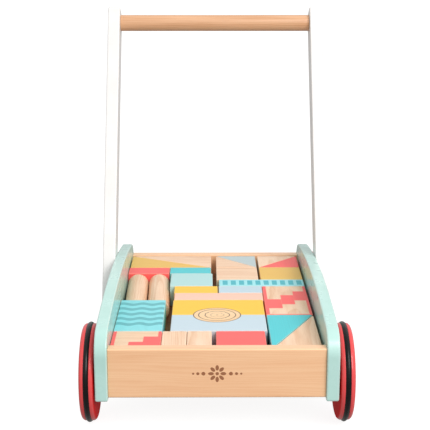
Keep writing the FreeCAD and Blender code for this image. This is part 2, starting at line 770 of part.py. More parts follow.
def block(name, left, front, width="dims.module", length="dims.module"):
    """Square-edged block lying in the tray."""
    body = rounded_box(name, width, length, "dims.block_thick", "dims.block_round")
    place(body, x=left, setback=front, height="places.base_top")
    keep(body, name)


def triangle(name, corner_x, corner_setback, along, across, quarter_turns):
    """Right-angled prism. Its square corner is given, and its legs run along local
    X and Y before it is turned by so many quarter turns."""
    body = new_body(name)
    sketch = new_sketch(body, "XY_Plane", name + "_outline")
    closed_outline(sketch, [("0", "0"), (along, "0"), ("0", across)])
    pad = body.newObject("PartDesign::Pad", name + "_pad")
    pad.Profile = sketch
    pad.setExpression("Length", "dims.block_thick")
    doc.recompute()
    round_edges(body, pad, "dims.block_round")
    place(body, x=corner_x, setback=corner_setback, height="places.base_top",
          turn=Rotation(Vector(0, 0, 1), 90 * quarter_turns))
    keep(body, name)


def rod(name, rear_x, turn_name):
    """Round block lying along the tray, its rear end at the rear of its place."""
    body = new_body(name)
    blank = body.newObject("PartDesign::AdditiveCylinder", name + "_blank")
    bind(blank, Radius="places.rod_dia / 2", Height="2 * dims.module - dims.rod_short")
    doc.recompute()
    ends = edges_where(blank, lambda edge: isinstance(edge.Curve, Part.Circle))
    round_edges(body, blank, "dims.block_round", ends)
    askew = Rotation(Vector(0, 0, 1), getattr(sheet, turn_name))
    forward = Rotation(Vector(1, 0, 0), 90)
    place(body, x=rear_x, setback="places.row_three + 2 * dims.module - dims.rod_short / 2",
          height="places.base_top + places.rod_dia / 2", turn=askew * forward)
    keep(body, name)


LONG = "2 * dims.module"
HALF = "places.half_block"
LEG = "dims.module - dims.half_cut_gap"
LONG_LEG = "2 * dims.module - dims.half_cut_gap"

# first row
block("block_small_steps", "places.left_column", "places.row_one")
block("block_plain_one", "places.second_left", "places.row_one", width=HALF)
block("block_plain_two", "places.third_left", "places.row_one", width=HALF)
block("block_coral", "places.solid_left", "places.row_one")
triangle("prism_teal", "places.right_column", "places.row_one + " + LONG,
         LONG_LEG, LEG, 3)
triangle("prism_plain_front", "places.right_column + dims.module", "places.row_one",
         LONG_LEG, LEG, 1)

# second row
block("block_waves", "places.left_column", "places.row_two", length=LONG)
block("block_log", "places.log_left", "places.row_two", width=LONG, length=LONG)
block("block_large_steps", "places.right_column", "places.row_right", length=LONG)

# middle rows
rod("rod_left", "places.left_column + places.rod_dia / 2 + 0.4 * places.loose",
    "rod_one_turn")
rod("rod_right", "places.left_column + 1.5 * places.rod_dia + places.loose",
    "rod_two_turn")
block("plank_pink", "places.plank_left", "places.row_three", width=LONG, length=HALF)
block("plank_yellow", "places.sun_left", "places.row_four", length=HALF)
block("plank_pale_blue", "places.pale_left", "places.row_four", length=HALF)
block("plank_checker", "places.checker_left", "places.row_five", width=LONG, length=HALF)
block("block_sky_blue", "places.sky_left", "places.row_five")
block("plank_teal", "places.second_left", "places.row_strip", length=HALF)
block("plank_coral", "places.left_column", "places.row_rods_end", length=HALF)
block("block_plain_rear", "places.rear_solid_left", "places.row_six")
block("block_yellow", "places.right_column", "places.row_six")

# last row
triangle("prism_yellow", "places.rear_left", "places.row_seven", LONG_LEG, LEG, 0)
triangle("prism_plain_long", "places.rear_left + " + LONG,
         "places.row_seven + dims.module", LONG_LEG, LEG, 2)
triangle("prism_plain_middle", "places.rear_solid_left", "places.row_seven", LEG, LEG, 0)
triangle("prism_grey_blue", "places.rear_solid_left + dims.module",
         "places.row_seven + dims.module", LEG, LEG, 2)
triangle("prism_plain_right", "places.right_column", "places.row_seven + dims.module",
         LEG, LEG, 3)
triangle("prism_coral", "places.right_column + dims.module", "places.row_seven",
         LEG, LEG, 1)


# ---------------------------------------------------------------- checks and files

doc.recompute()
for item in doc.Objects:
    if "Invalid" in item.State or "Error" in item.State:
        raise RuntimeError("%s is %s" % (item.Label, item.State))
for item in NODES:
    if item.Shape.isNull() or not item.Shape.isValid() or not item.Shape.Solids:
        raise RuntimeError(item.Label + " has no valid solid")

os.makedirs("parts", exist_ok=True)
for item in NODES:
    item.Shape.exportStep("parts/%s.step" % item.Label)
print(len(NODES), "sub-parts written")
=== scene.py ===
import math
import random

import bmesh
import bpy
from mathutils import Euler, Matrix, Vector


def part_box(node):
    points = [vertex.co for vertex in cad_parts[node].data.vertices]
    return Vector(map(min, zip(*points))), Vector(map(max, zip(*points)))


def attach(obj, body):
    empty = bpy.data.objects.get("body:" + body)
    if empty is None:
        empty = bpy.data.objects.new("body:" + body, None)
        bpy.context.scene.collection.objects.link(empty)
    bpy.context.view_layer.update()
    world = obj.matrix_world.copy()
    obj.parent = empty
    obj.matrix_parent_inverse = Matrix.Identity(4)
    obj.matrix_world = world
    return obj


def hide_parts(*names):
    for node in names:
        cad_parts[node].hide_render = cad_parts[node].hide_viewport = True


# Wooden baby walker with its tray of building blocks, made piece by piece round the
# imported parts: finishes first, then outlines and solids, then the pieces and the studio.
# Shapes are drawn in millimetres and set in place in metres at the very end.

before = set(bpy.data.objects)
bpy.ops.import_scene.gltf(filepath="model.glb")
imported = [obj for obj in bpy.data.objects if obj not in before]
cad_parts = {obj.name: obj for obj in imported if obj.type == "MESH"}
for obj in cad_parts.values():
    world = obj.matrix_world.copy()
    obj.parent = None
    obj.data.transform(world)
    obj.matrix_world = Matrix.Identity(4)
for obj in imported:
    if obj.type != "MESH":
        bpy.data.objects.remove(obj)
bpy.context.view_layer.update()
scene = bpy.context.scene
lumber = random.Random(23)

MM = 0.001
FRAME_BODY = "frame"
ENDS = ("front", "rear")
SIDES = {"left": -1, "right": 1}

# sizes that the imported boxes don't give, in millimetres
MODULE = 60.0
SAW_GAP = 0.5
ROD_SHORT = 1.0
BLOCK_ROUND = 1.2
BLOCK_CORNER = BLOCK_ROUND * 1.04
BLOCK_HIGH = 30.0
EDGE_ROUND = 2.0
BOARD_THICK = 15.0
CREST_SETBACK = 190.0
CROWN_DROP = 23.5
FRONT_CORNER = 30.0
REAR_CORNER = 35.0
POST_LEAN = math.radians(26.1)
POST_WIDTH = 38.0
POST_OVER = 20.0
POST_END_ROUND = 6.0
POST_FOOT = 3.5
BOLT_LEVELS = (55.5, 21.4)
BOLT_SINK_RADIUS = 6.2
SCREW_LEVEL = 20.0
SCREW_HEAD_HOLE = 4.6
AXLE_RADIUS = 4.0
AXLE_HOLE = 4.02
AXLE_BORE = 4.05
WHEEL_THICK = 17.5
WHEEL_ROUND = 5.0
BUSH_RADIUS = 6.0
BUSH_FLANGE = 1.2
BUSH_FLANGE_RADIUS = 9.0
RECESS_RADIUS = 14.0
RECESS_DEEP = 9.0
TYRE_RADIUS = 60.5
RING_SECTION = 3.5
RING_FLASH = 0.12
LIP_FOOT = 0.55
LIP_TOP = 0.20
WASHER_THICK = 1.5
WASHER_MIDDLE = 6.51
WASHER_ACROSS = 4.98
CAP_RADIUS = 7.5
CAP_DEEP = 4.5
PLY_THICK = 6.0
PLIES = 5


def add_object(name, data):
    """A new object, linked to the scene."""
    item = bpy.data.objects.new(name, data)
    scene.collection.objects.link(item)
    return item


def span(node):
    """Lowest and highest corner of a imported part, in millimetres."""
    low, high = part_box(node)
    return low / MM, high / MM


# ---------------------------------------------------------------- node trees

def operator(operation, reflected=False):
    """A method that adds one Math node, its terms swapped for a reflected operator."""
    def method(self, other):
        terms = (other, self) if reflected else (self, other)
        return self.maths(operation, *terms)
    return method


class Signal:
    """An output of a node that can be used in ordinary sums."""

    def __init__(self, bench, socket):
        self.bench = bench
        self.socket = socket

    def maths(self, operation, *terms):
        return self.bench.node("ShaderNodeMath", {"operation": operation},
                               dict(enumerate(terms)))

    def __abs__(self):
        return self.maths("ABSOLUTE", self)

    __add__ = operator("ADD")
    __radd__ = operator("ADD", reflected=True)
    __sub__ = operator("SUBTRACT")
    __rsub__ = operator("SUBTRACT", reflected=True)
    __mul__ = operator("MULTIPLY")
    __rmul__ = operator("MULTIPLY", reflected=True)
    __truediv__ = operator("DIVIDE")
    __rtruediv__ = operator("DIVIDE", reflected=True)
    __pow__ = operator("POWER")
    __mod__ = operator("FLOORED_MODULO")


class Bench:
    """A node tree under construction, for a material or for geometry."""

    def __init__(self, tree):
        self.tree = tree

    @staticmethod
    def pick(sockets, key):
        """A socket by its number, its identifier or its name."""
        if isinstance(key, int):
            return sockets[key]
        for socket in sockets:
            if socket.identifier == key:
                return socket
        return sockets[key]

    def node(self, kind, settings=None, inputs=None, out=0):
        """Any node: its settings first, then its inputs. Returns one of its outputs."""
        made = self.tree.nodes.new(kind)
        for name, value in (settings or {}).items():
            setattr(made, name, value)
        for key, value in (inputs or {}).items():
            socket = self.pick(made.inputs, key)
            if isinstance(value, Signal):
                self.tree.links.new(value.socket, socket)
            else:
                socket.default_value = value
        return Signal(self, self.pick(made.outputs, out)) if len(made.outputs) else made

    # vectors and colours
    def shifted(self, vector, by):
        return self.node("ShaderNodeVectorMath", {"operation": "ADD"}, {0: vector, 1: by})

    def stretched(self, vector, by):
        return self.node("ShaderNodeVectorMath", {"operation": "MULTIPLY"},
                         {0: vector, 1: by})

    def dimmed(self, colour, by):
        return self.node("ShaderNodeVectorMath", {"operation": "SCALE"},
                         {0: colour, "Scale": by})

    def parts(self, vector):
        """The three numbers of a vector, each to be used in sums."""
        apart = self.tree.nodes.new("ShaderNodeSeparateXYZ")
        self.tree.links.new(vector.socket, apart.inputs[0])
        return [Signal(self, socket) for socket in apart.outputs]

    def joined(self, x, y, z):
        return self.node("ShaderNodeCombineXYZ", None, {0: x, 1: y, 2: z})

    def blend(self, first, second, share):
        """The first colour where share is 0 and the second where it is 1."""
        return self.node("ShaderNodeMix", {"data_type": "RGBA"},
                         {"Factor_Float": share, "A_Color": first, "B_Color": second},
                         "Result_Color")

    # patterns
    def attribute(self, name, out="Vector"):
        return self.node("ShaderNodeAttribute", {"attribute_name": name}, None, out)

    def own_place(self):
        return self.node("ShaderNodeTexCoord", None, None, "Object")

    def own_millimetres(self):
        """Distances along a piece's own three axes, as it was drawn."""
        return self.parts(self.attribute("place"))

    def noise(self, vector, scale, detail=2.0, rough=0.5, out="Fac"):
        return self.node("ShaderNodeTexNoise", None,
                         {"Vector": vector, "Scale": scale, "Detail": detail,
                          "Roughness": rough}, out)

    def step(self, value, low, high):
        """0 below low, 1 above high and a smooth rise between."""
        return self.node("ShaderNodeMapRange", {"interpolation_type": "SMOOTHSTEP"},
                         {"Value": value, "From Min": low, "From Max": high})

    def larger(self, first, second):
        return first.maths("MAXIMUM", first, second)


def distance(first, second):
    """Length of the diagonal over two distances at right angles."""
    return (first * first + second * second) ** 0.5


class Finish(Bench):
    """A material: everything ends in one surface shader."""

    def __init__(self, name):
        self.material = bpy.data.materials.new(name)
        self.material.use_nodes = True
        super().__init__(self.material.node_tree)
        self.tree.nodes.clear()

    def surface(self, colour, roughness, relief=None, depth=0.1, **steady):
        """The shader itself. relief is 0 to 1 and depth its height in millimetres."""
        values = {"Base Color": colour, "Roughness": roughness}
        for name, value in steady.items():
            values[name.replace("_", " ").title().replace("Ior", "IOR")] = value
        if relief is not None:
            values["Normal"] = self.node(
                "ShaderNodeBump", None,
                {"Height": relief, "Distance": depth * MM, "Strength": 1.0})
        shader = self.node("ShaderNodeBsdfPrincipled", None, values)
        self.node("ShaderNodeOutputMaterial", None, {"Surface": shader})
        return self.material


def rgb(red, green, blue):
    """A paint chip given in 0 to 255 display values, as the linear colour shaders use."""
    linear = []
    for part in (red, green, blue):
        share = part / 255
        if share <= 0.04045:
            linear.append(share / 12.92)
        else:
            linear.append(((share + 0.055) / 1.055) ** 2.4)
    return (*linear, 1.0)


# ---------------------------------------------------------------- wood and paint

def figure(finish, ring_gap, sway=12.0):
    """Rings, streaks, cloudiness and pores of a piece of wood, each 0 to 1. They follow
    the distances along the trunk and out from its pith."""
    grain = finish.attribute("grain")
    # the trunk's rings wander slowly along its length
    drift = finish.noise(finish.stretched(grain, (0.006, 0.02, 0.02)), 1.0, 2.0, 0.5,
                         "Color")
    drift = finish.stretched(finish.shifted(drift, (-0.5, -0.5, -0.5)), (0.0, sway, sway))
    _, across, through = finish.parts(finish.shifted(grain, drift))
    radius = distance(across, through)
    uneven = finish.noise(finish.joined(radius * 0.07, 0.0, 0.0), 1.0, 1.0)
    turn = (radius / ring_gap + uneven * 5.0) % 1.0
    rings = finish.step(turn, 0.20, 0.88) * (1.0 - finish.step(turn, 0.88, 1.0))
    streaks = finish.noise(finish.stretched(grain, (0.03, 1.6, 1.6)), 1.0, 4.0, 0.65)
    cloud = finish.noise(finish.stretched(grain, (0.007, 0.09, 0.09)), 1.0, 3.0, 0.55)
    fleck = finish.noise(finish.stretched(grain, (0.45, 4.5, 4.5)), 1.0, 1.0)
    pores = finish.step(fleck, 0.64, 0.74)
    return rings, streaks, cloud, pores


def bare_wood(finish, pale, deep, ring_gap, contrast=1.0):
    """Colour and relief of bare wood, and the streaks, rings and pores behind them."""
    rings, streaks, cloud, pores = figure(finish, ring_gap)
    shade = (rings * 0.26 + (streaks - 0.5) * 0.70 + (cloud - 0.5) * 1.1) * contrast
    shade = finish.step(shade + 0.30, 0.0, 1.0)
    colour = finish.blend(pale, deep, shade)
    colour = finish.dimmed(colour, 1.0 - pores * (0.16 * contrast))
    relief = streaks * 0.5 + rings * 0.2 + (1.0 - pores) * 0.3
    return colour, relief, streaks, rings, pores


def clear_wood(name, pale, deep, ring_gap=2.6, contrast=1.0, gloss=0.40, coat=0.12,
               emblem=None):
    """Wood under a thin clear lacquer, a little paler along its sanded edges."""
    finish = Finish(name)
    colour, relief, streaks, _, pores = bare_wood(finish, pale, deep, ring_gap, contrast)
    worn = finish.attribute("worn", "Fac")
    colour = finish.blend(colour, pale, worn * 0.45)
    roughness = gloss + streaks * 0.10 + pores * 0.12
    if emblem is not None:
        burnt = emblem(finish)
        soot = finish.noise(finish.attribute("place"), 0.9, 3.0)
        colour = finish.blend(colour, finish.dimmed(BURNT_BROWN[:3], 0.75 + soot * 0.5),
                              burnt * 0.92)
        relief = relief * 0.25 - burnt * 2.0
        roughness = roughness + burnt * 0.25
    return finish.surface(colour, roughness, relief, 0.05, coat_weight=coat,
                          coat_roughness=0.22, ior=1.5)


def painted_block(name, picture):
    """Block with a stain or print. picture gives the print's colour and where it lies; the
    rest stays bare wood, and the colour thins out along the rounded edges, partly worn paint
    and partly a painted highlight."""
    finish = Finish(name)
    bare, relief, streaks, rings, pores = bare_wood(finish, BLOCK_PALE, BLOCK_DEEP,
                                                    BLOCK_RINGS)
    worn = finish.attribute("worn", "Fac")
    ink, cover = picture(finish)
    ink = finish.dimmed(ink, 1.03 - rings * 0.035 - (streaks - 0.5) * 0.10 - pores * 0.05)
    rubbed = finish.noise(finish.attribute("place"), 0.35, 4.0, 0.6)
    # paler edges: thin paint and a painted highlight on the rounded edges
    thin = finish.step(worn * 0.75 + rubbed * 0.55, 0.72, 1.10) * 0.55
    colour = finish.blend(bare, ink, cover * (1.0 - thin))
    roughness = 0.42 + streaks * 0.08 + thin * 0.10
    relief = relief * 0.55 + cover * 0.25 - thin * 0.15
    return finish.surface(colour, roughness, relief, 0.045, coat_weight=0.08,
                          coat_roughness=0.28, ior=1.5)


def sprayed(name, colour, second, gloss, coat, sanded):
    """Sprayed lacquer over wood: faint grain and orange peel, thinner and paler at the edges,
    partly worn paint and partly a painted highlight.
    """
    finish = Finish(name)
    rings, streaks, _, _ = figure(finish, 3.4, 18.0)
    worn = finish.attribute("worn", "Fac")
    place = finish.own_place()
    peel = finish.noise(place, 420.0, 2.0, 0.4)
    mottle = finish.noise(place, 22.0, 4.0, 0.55)
    rubbed = finish.noise(place, 260.0, 4.0, 0.6)
    tone = finish.blend(colour, second, finish.step(mottle + (streaks - 0.5) * 0.25,
                                                    0.30, 0.75))
    # paler edges: worn-thin paint and a painted highlight along the rounded edges, as strong
    # as sanded says
    edge = finish.step(worn * 0.8 + rubbed * 0.5, 0.75, 1.15) * sanded
    tone = finish.blend(tone, (1.0, 0.97, 0.88, 1.0), edge * 0.55)
    roughness = gloss + (mottle - 0.5) * 0.10 + edge * 0.12
    relief = peel * 0.6 + streaks * 0.30 + rings * 0.10
    return finish.surface(tone, roughness, relief, 0.010, coat_weight=coat,
                          coat_roughness=0.16, ior=1.5)


def wheel_lacquer(name, sheen_rim_colour, face_colour):
    """Lacquered disc with the faint circles that the tool left. The rim is painted a paler
    coral than the deeper flat faces, a painted sheen on the polished rim, and the inner face
    was left dull."""
    finish = Finish(name)
    along, across, up = finish.own_millimetres()
    radius = distance(across, up)
    middle = WHEEL_THICK / 2
    flat = finish.step(abs(along - middle), middle - 2.2, middle - 0.4)
    inner = 1.0 - finish.step(along, 0.4, 2.2)
    circles = finish.noise(finish.joined(radius * 1.7, along * 1.7, 0.0), 1.0, 3.0, 0.6)
    mottle = finish.noise(finish.attribute("place"), 0.05, 4.0, 0.55)
    worn = finish.attribute("worn", "Fac")
    scuffs = finish.noise(finish.attribute("place"), 0.7, 5.0, 0.65)
    rubbed = finish.step(worn * 0.5 + scuffs * 0.7, 0.72, 0.95) * 0.35
    # painted sheen: the rim gets the paler coral and the flat faces the deeper one
    tone = finish.blend(sheen_rim_colour, face_colour, flat)
    tone = finish.dimmed(tone, 0.94 + mottle * 0.12)
    tone = finish.blend(tone, rgb(250, 160, 150), rubbed * 0.4)
    roughness = 0.33 + inner * 0.40 + (circles - 0.5) * 0.08 + rubbed * 0.15
    relief = circles * 0.6 + scuffs * 0.4
    coat = 0.35 * (1.0 - inner)
    return finish.surface(tone, roughness, relief, 0.02, coat_weight=coat,
                          coat_roughness=0.12, ior=1.4, specular_ior_level=0.2)


def rubber(name):
    """Moulded rubber ring, a little greyer where it meets the floor."""
    finish = Finish(name)
    across, up, _ = finish.own_millimetres()
    radius = distance(across, up)
    speck = finish.noise(finish.attribute("place"), 2.4, 4.0, 0.7)
    dust = finish.step(radius, TYRE_RADIUS - 0.6, TYRE_RADIUS) * finish.step(speck, 0.48, 0.70)
    tone = finish.blend(rgb(9, 6, 6), rgb(50, 46, 44), dust * 0.35)
    roughness = 0.22 + speck * 0.10 + dust * 0.25
    return finish.surface(tone, roughness, speck, 0.02, ior=1.36)


def plated(name, colour, gloss):
    """Zinc or brass with a fine brushed haze."""
    finish = Finish(name)
    place = finish.own_place()
    haze = finish.noise(place, 420.0, 4.0, 0.6)
    cloud = finish.noise(place, 60.0, 3.0)
    tone = finish.dimmed(colour[:3], 0.86 + haze * 0.14 + cloud * 0.12)
    roughness = gloss + haze * 0.12 + cloud * 0.08
    return finish.surface(tone, roughness, haze, 0.01, metallic=1.0)


def moulded(name, colour):
    """Nylon with the slight mottling of a moulded part."""
    finish = Finish(name)
    place = finish.own_place()
    mottle = finish.noise(place, 300.0, 3.0)
    tone = finish.dimmed(colour[:3], 0.94 + mottle * 0.1)
    return finish.surface(tone, 0.38 + mottle * 0.1, mottle, 0.02, ior=1.53)


def plywood(name, pale, deep):
    """Veneered board whose edges show the plies."""
    finish = Finish(name)
    colour, relief, streaks, _, _ = bare_wood(finish, pale, deep, 5.0, 0.8)
    up = finish.own_millimetres()[2]
    ply = (up / PLY_THICK * PLIES) % 2.0
    dark_ply = finish.step(ply, 0.98, 1.02)
    edge = finish.attribute("edge_face", "Fac")
    colour = finish.dimmed(colour, 1.0 - dark_ply * edge * 0.28)
    return finish.surface(colour, 0.55 + streaks * 0.1, relief, 0.08, ior=1.5)


# paint chips and timbers
BURNT_BROWN = rgb(140, 82, 44)
BEECH_PALE = rgb(245, 200, 158)
BEECH_DEEP = rgb(220, 155, 106)
BLOCK_PALE = rgb(242, 211, 182)
BLOCK_DEEP = rgb(218, 168, 126)
BAR_PALE = rgb(226, 177, 137)
BAR_DEEP = rgb(192, 136, 92)
CORAL = rgb(246, 93, 90)
TEAL = rgb(68, 195, 203)
YELLOW = rgb(245, 193, 50)
DEEP_YELLOW = rgb(227, 182, 85)
PALE_BLUE = rgb(184, 207, 218)
SKY_BLUE = rgb(173, 213, 213)
GREY_BLUE = rgb(180, 196, 198)
PINK = rgb(246, 194, 172)
MINT = rgb(183, 219, 212)
MINT_SECOND = rgb(174, 212, 204)
BLOCK_RINGS = 2.4
BOARD_WOOD = {"pale": BEECH_PALE, "deep": BEECH_DEEP, "ring_gap": 2.8, "contrast": 0.42,
              "gloss": 0.36, "coat": 0.5}


def all_over(colour):
    """Paint on every face."""
    def picture(finish):
        return colour[:3], 1.0
    return picture


def inside(finish, value, low, high, blur=0.25):
    """1 between two limits."""
    return finish.step(value, low - blur, low + blur) * (
        1.0 - finish.step(value, high - blur, high + blur))


def flat_faces(finish, up):
    """1 on the flat top and bottom of a block, 0 on the sides."""
    middle = BLOCK_HIGH / 2
    return finish.step(abs(up - middle), middle - BLOCK_ROUND * 0.55,
                       middle - BLOCK_ROUND * 0.25)


def coral_steps(treads, borders):
    """Coral sides and stairs on a bare top. Each tread is left, right, front, back."""
    def picture(finish):
        across, along, up = finish.own_millimetres()
        cover = 1.0 - flat_faces(finish, up)
        for left, right, front, back in treads:
            tread = inside(finish, across, left, right) * inside(finish, along, front, back)
            cover = finish.larger(cover, tread)
        for left, right in borders:
            cover = finish.larger(cover, inside(finish, across, left, right))
        return CORAL[:3], cover
    return picture


# water print: length and height of a wave, distance between lines, a line's place along
# the block, and where the lines start and stop
WAVE_LONG = 25.5
WAVE_TALL = 2.4
WAVE_ROW = 19.3
WAVE_START = 64.0
WAVES_REACH = (14.6, 113.0)


def waves(finish):
    """Darker water lines over turquoise."""
    across, along, up = finish.own_millimetres()
    phase = (across - MODULE / 2) * (math.tau / WAVE_LONG)
    crest = phase.maths("COSINE", phase) * WAVE_TALL
    row = (along - WAVE_START - crest) / WAVE_ROW
    gap = abs((row + 0.5) % 1.0 - 0.5)
    line = 1.0 - finish.step(gap, 0.22, 0.27)
    line = line * flat_faces(finish, up)
    line = line * inside(finish, along, *WAVES_REACH, 0.2)
    return finish.blend(rgb(130, 214, 221), rgb(92, 174, 182), line), 1.0


# growth rings of the tree slice: inner and outer edge, how far they wander, strength
GROWTH_RINGS = [(29.6, 30.9, 0.0, 1.0), (23.2, 24.5, 1.5, 1.0), (15.0, 16.3, 5.0, 1.0),
                (8.0, 8.9, 5.0, 0.8)]
DISC_EDGE = (30.3, 30.8)
DISC_EAST = 1.8
DISC_SOUTH = 1.0
DISC_FLAT = 1.1


def tree_slice(finish):
    """Two-colour block with a bare disc and thin growth rings in the middle."""
    across, along, up = finish.own_millimetres()
    flat = flat_faces(finish, up)
    east = across - MODULE + DISC_EAST
    north = (along - MODULE + DISC_SOUTH) * DISC_FLAT
    radius = distance(east, north)
    wobble = finish.noise(finish.joined(east / radius, north / radius, 0.0), 2.2, 1.0) - 0.5
    disc = 1.0 - finish.step(radius, *DISC_EDGE)
    rings = (1.0 - finish.step(radius + wobble * 5.0, 1.2, 1.8)) * 0.7
    for low, high, wander, strength in GROWTH_RINGS:
        ring = inside(finish, radius + wobble * wander, low, high) * strength
        rings = finish.larger(rings, ring)
    rings = rings * flat
    halves = finish.blend(rgb(190, 208, 218), YELLOW, finish.step(along, 59.0, 59.6))
    halves = finish.blend(halves, rgb(240, 202, 140), disc)
    ink = finish.blend(halves, rgb(70, 38, 20), rings)
    return ink, finish.larger(1.0 - disc * flat * 0.5, rings * 0.9)


# checker print: from one square to the next, and where the row starts
SQUARE_PITCH = 11.6
SQUARE_START = 3.6


def checker(finish):
    """Row of turquoise squares on a pale plank."""
    across, along, up = finish.own_millimetres()
    square = inside(finish, (across - SQUARE_START) % SQUARE_PITCH, 1.6, 8.6)
    square = square * inside(finish, along, 5.0, 25.0) * flat_faces(finish, up)
    square = square * inside(finish, across, 4.0, 117.0)
    return finish.blend(rgb(152, 220, 226), rgb(60, 174, 187), square), 1.0


# burnt-in ornament: its middle on the front board, and its petals
ORNAMENT_ACROSS = 127.5
ORNAMENT_UP = 30.25
PETALS = 8
PETAL_AWAY = 7.2
PETAL_LONG = 3.4
PETAL_WIDE = 2.05
# distance from the middle and radius of each dot beside the petals
SIDE_DOTS = [(16.0, 2.3), (22.5, 1.8), (28.0, 1.3)]


def rosette(finish):
    """Petals round a dot, with smaller dots to each side: the burnt-in ornament."""
    deep, up, across = finish.own_millimetres()
    east = across - ORNAMENT_ACROSS
    north = up - ORNAMENT_UP
    radius = distance(east, north)
    share = math.tau / PETALS
    turn = (north.maths("ARCTAN2", north, east) + share / 2) % share - share / 2
    out = (radius * turn.maths("COSINE", turn) - PETAL_AWAY) / PETAL_LONG
    aside = radius * turn.maths("SINE", turn) / PETAL_WIDE
    petal = distance(out, aside)
    mark = 1.0 - finish.step(petal, 0.90, 1.08)
    mark = finish.larger(mark, 1.0 - finish.step(radius, 1.9, 2.2))
    for away, size in SIDE_DOTS:
        beside = abs(east) - away
        dot = distance(beside, north)
        mark = finish.larger(mark, 1.0 - finish.step(dot, size - 0.15, size + 0.15))
    return mark * (1.0 - finish.step(deep, 0.2, 0.4))


SIDE_BORDERS = [(-1.0, 4.8), (55.8, 61.0)]

# blocks stained all over, and blocks with a print: the finish's name and its picture
STAINS = {
    "coral_block": ("coral_stain", all_over(CORAL)),
    "teal_block": ("teal_stain", all_over(TEAL)),
    "yellow_block": ("yellow_stain", all_over(YELLOW)),
    "deep_yellow": ("honey_stain", all_over(DEEP_YELLOW)),
    "pale_blue_block": ("pale_blue_stain", all_over(PALE_BLUE)),
    "sky_blue": ("sky_blue_stain", all_over(SKY_BLUE)),
    "grey_blue_block": ("grey_blue_stain", all_over(GREY_BLUE)),
    "pink_block": ("pink_stain", all_over(PINK)),
    "small_steps": ("small_steps_print", coral_steps(
        [(21.5, 60.0, -1.0, 23.0), (38.5, 60.0, -1.0, 41.0)], SIDE_BORDERS)),
    "large_steps": ("large_steps_print", coral_steps(
        [(4.0, 23.0, 25.0, 62.0), (23.0, 40.5, 41.0, 79.5), (40.5, 57.0, 57.0, 96.0),
         (0.0, 60.0, -1.0, 2.2)], SIDE_BORDERS)),
    "waves_block": ("water_print", waves),
    "log_block": ("tree_slice_print", tree_slice),
    "checker_block": ("checker_print", checker),
}

# every finish by its short name
FINISHES = {
    "natural_wood": clear_wood("beech_board", **BOARD_WOOD),
    "front_wood": clear_wood("beech_board_with_ornament", emblem=rosette, **BOARD_WOOD),
    "bar_wood": clear_wood("turned_bar", BAR_PALE, BAR_DEEP, ring_gap=3.0, contrast=0.9,
                           gloss=0.32, coat=0.3),
    "plain_block": clear_wood("bare_block", BLOCK_PALE, BLOCK_DEEP, BLOCK_RINGS),
    # sanded also sets how strong the painted highlight is along the panel edges
    "mint_paint": sprayed("mint_lacquer", MINT, MINT_SECOND, gloss=0.28, coat=0.3,
                          sanded=0.7),
    "white_paint": sprayed("white_lacquer", rgb(237, 235, 234), rgb(231, 229, 227),
                           gloss=0.33, coat=0.2, sanded=0.1),
    # the paler rim chip stands in for the rim's sheen: a painted sheen
    "wheel_coral": wheel_lacquer("coral_lacquer", rgb(220, 76, 78), rgb(214, 24, 26)),
    "ring_rubber": rubber("black_rubber"),
    "steel": plated("bright_zinc", rgb(205, 206, 208), 0.24),
    "brass": plated("insert_brass", rgb(214, 178, 110), 0.28),
    "nylon": moulded("white_nylon", rgb(232, 230, 224)),
    "plywood": plywood("oiled_ply", rgb(158, 116, 80), rgb(116, 80, 52)),
    "dowel_wood": clear_wood("dowel_beech", BEECH_PALE, BEECH_DEEP, ring_gap=2.0),
}
for finish, (name, picture) in STAINS.items():
    FINISHES[finish] = painted_block(name, picture)


# ---------------------------------------------------------------- outlines

def arc(centre, radius, start, end, steps, worn=0.0):
    """Points along an arc: place, outward direction and exposure to knocks."""
    points = []
    for k in range(steps + 1):
        share = k / steps
        angle = start + (end - start) * share
        out = Vector((math.cos(angle), math.sin(angle)))
        points.append((Vector(centre) + out * radius, out,
                       worn * math.sin(math.pi * share)))
    return points


def rounded(corners, radius, steps=4):
    """Outline of a convex shape, corners anticlockwise, every corner rounded."""
    outline = []
    for k, corner in enumerate(corners):
        here = Vector(corner)
        coming = (here - Vector(corners[k - 1])).normalized()
        going = (Vector(corners[(k + 1) % len(corners)]) - here).normalized()
        start = math.atan2(-coming.x, coming.y)
        end = math.atan2(-going.x, going.y)
        if end < start:
            end += math.tau
        middle = (start + end) / 2
        back = radius / math.cos((end - start) / 2)
        centre = here - Vector((math.cos(middle), math.sin(middle))) * back
        outline += arc(centre, radius, start, end, steps, 1.0)
    return outline


def rectangle(width, length, radius):
    """Outline of a rectangle whose first corner is at the start."""
    return rounded([(0, 0), (width, 0), (width, length), (0, length)], radius)


def hole(centre, radius, steps=40):
    """Round hole, clockwise, its directions pointing into the hole."""
    return [(place, -out, worn) for place, out, worn
            in reversed(arc(centre, radius, 0.0, math.tau, steps)[:-1])]


def turned_section(corners, steps=4):
    """Half section of a turned piece. Each corner is along, radius, rounding."""
    section = []
    for k, (along, radius, rounding) in enumerate(corners):
        here = Vector((along, radius))
        coming = here - Vector(corners[k - 1][:2])
        going = Vector(corners[(k + 1) % len(corners)][:2]) - here
        coming.normalize()
        going.normalize()
        turn = math.atan2(coming.x * going.y - coming.y * going.x, coming.dot(going))
        side = 1.0 if turn > 0 else -1.0
        rounding = max(rounding, 0.02)
        reach = rounding * math.tan(abs(turn) / 2)
        left_of = Vector((-coming.y, coming.x)) * side
        centre = here - coming * reach + left_of * rounding
        first = math.atan2(-left_of.y, -left_of.x)
        count = max(1, round(steps * abs(turn) / (math.pi / 2)))
        for step in range(count + 1):
            angle = first + turn * step / count
            out = Vector((math.cos(angle), math.sin(angle)))
            mark = math.sin(math.pi * step / count) if side > 0 and rounding > 0.3 else 0.0
            section.append((centre + out * rounding, out * side, mark))
    return section


# ---------------------------------------------------------------- solids

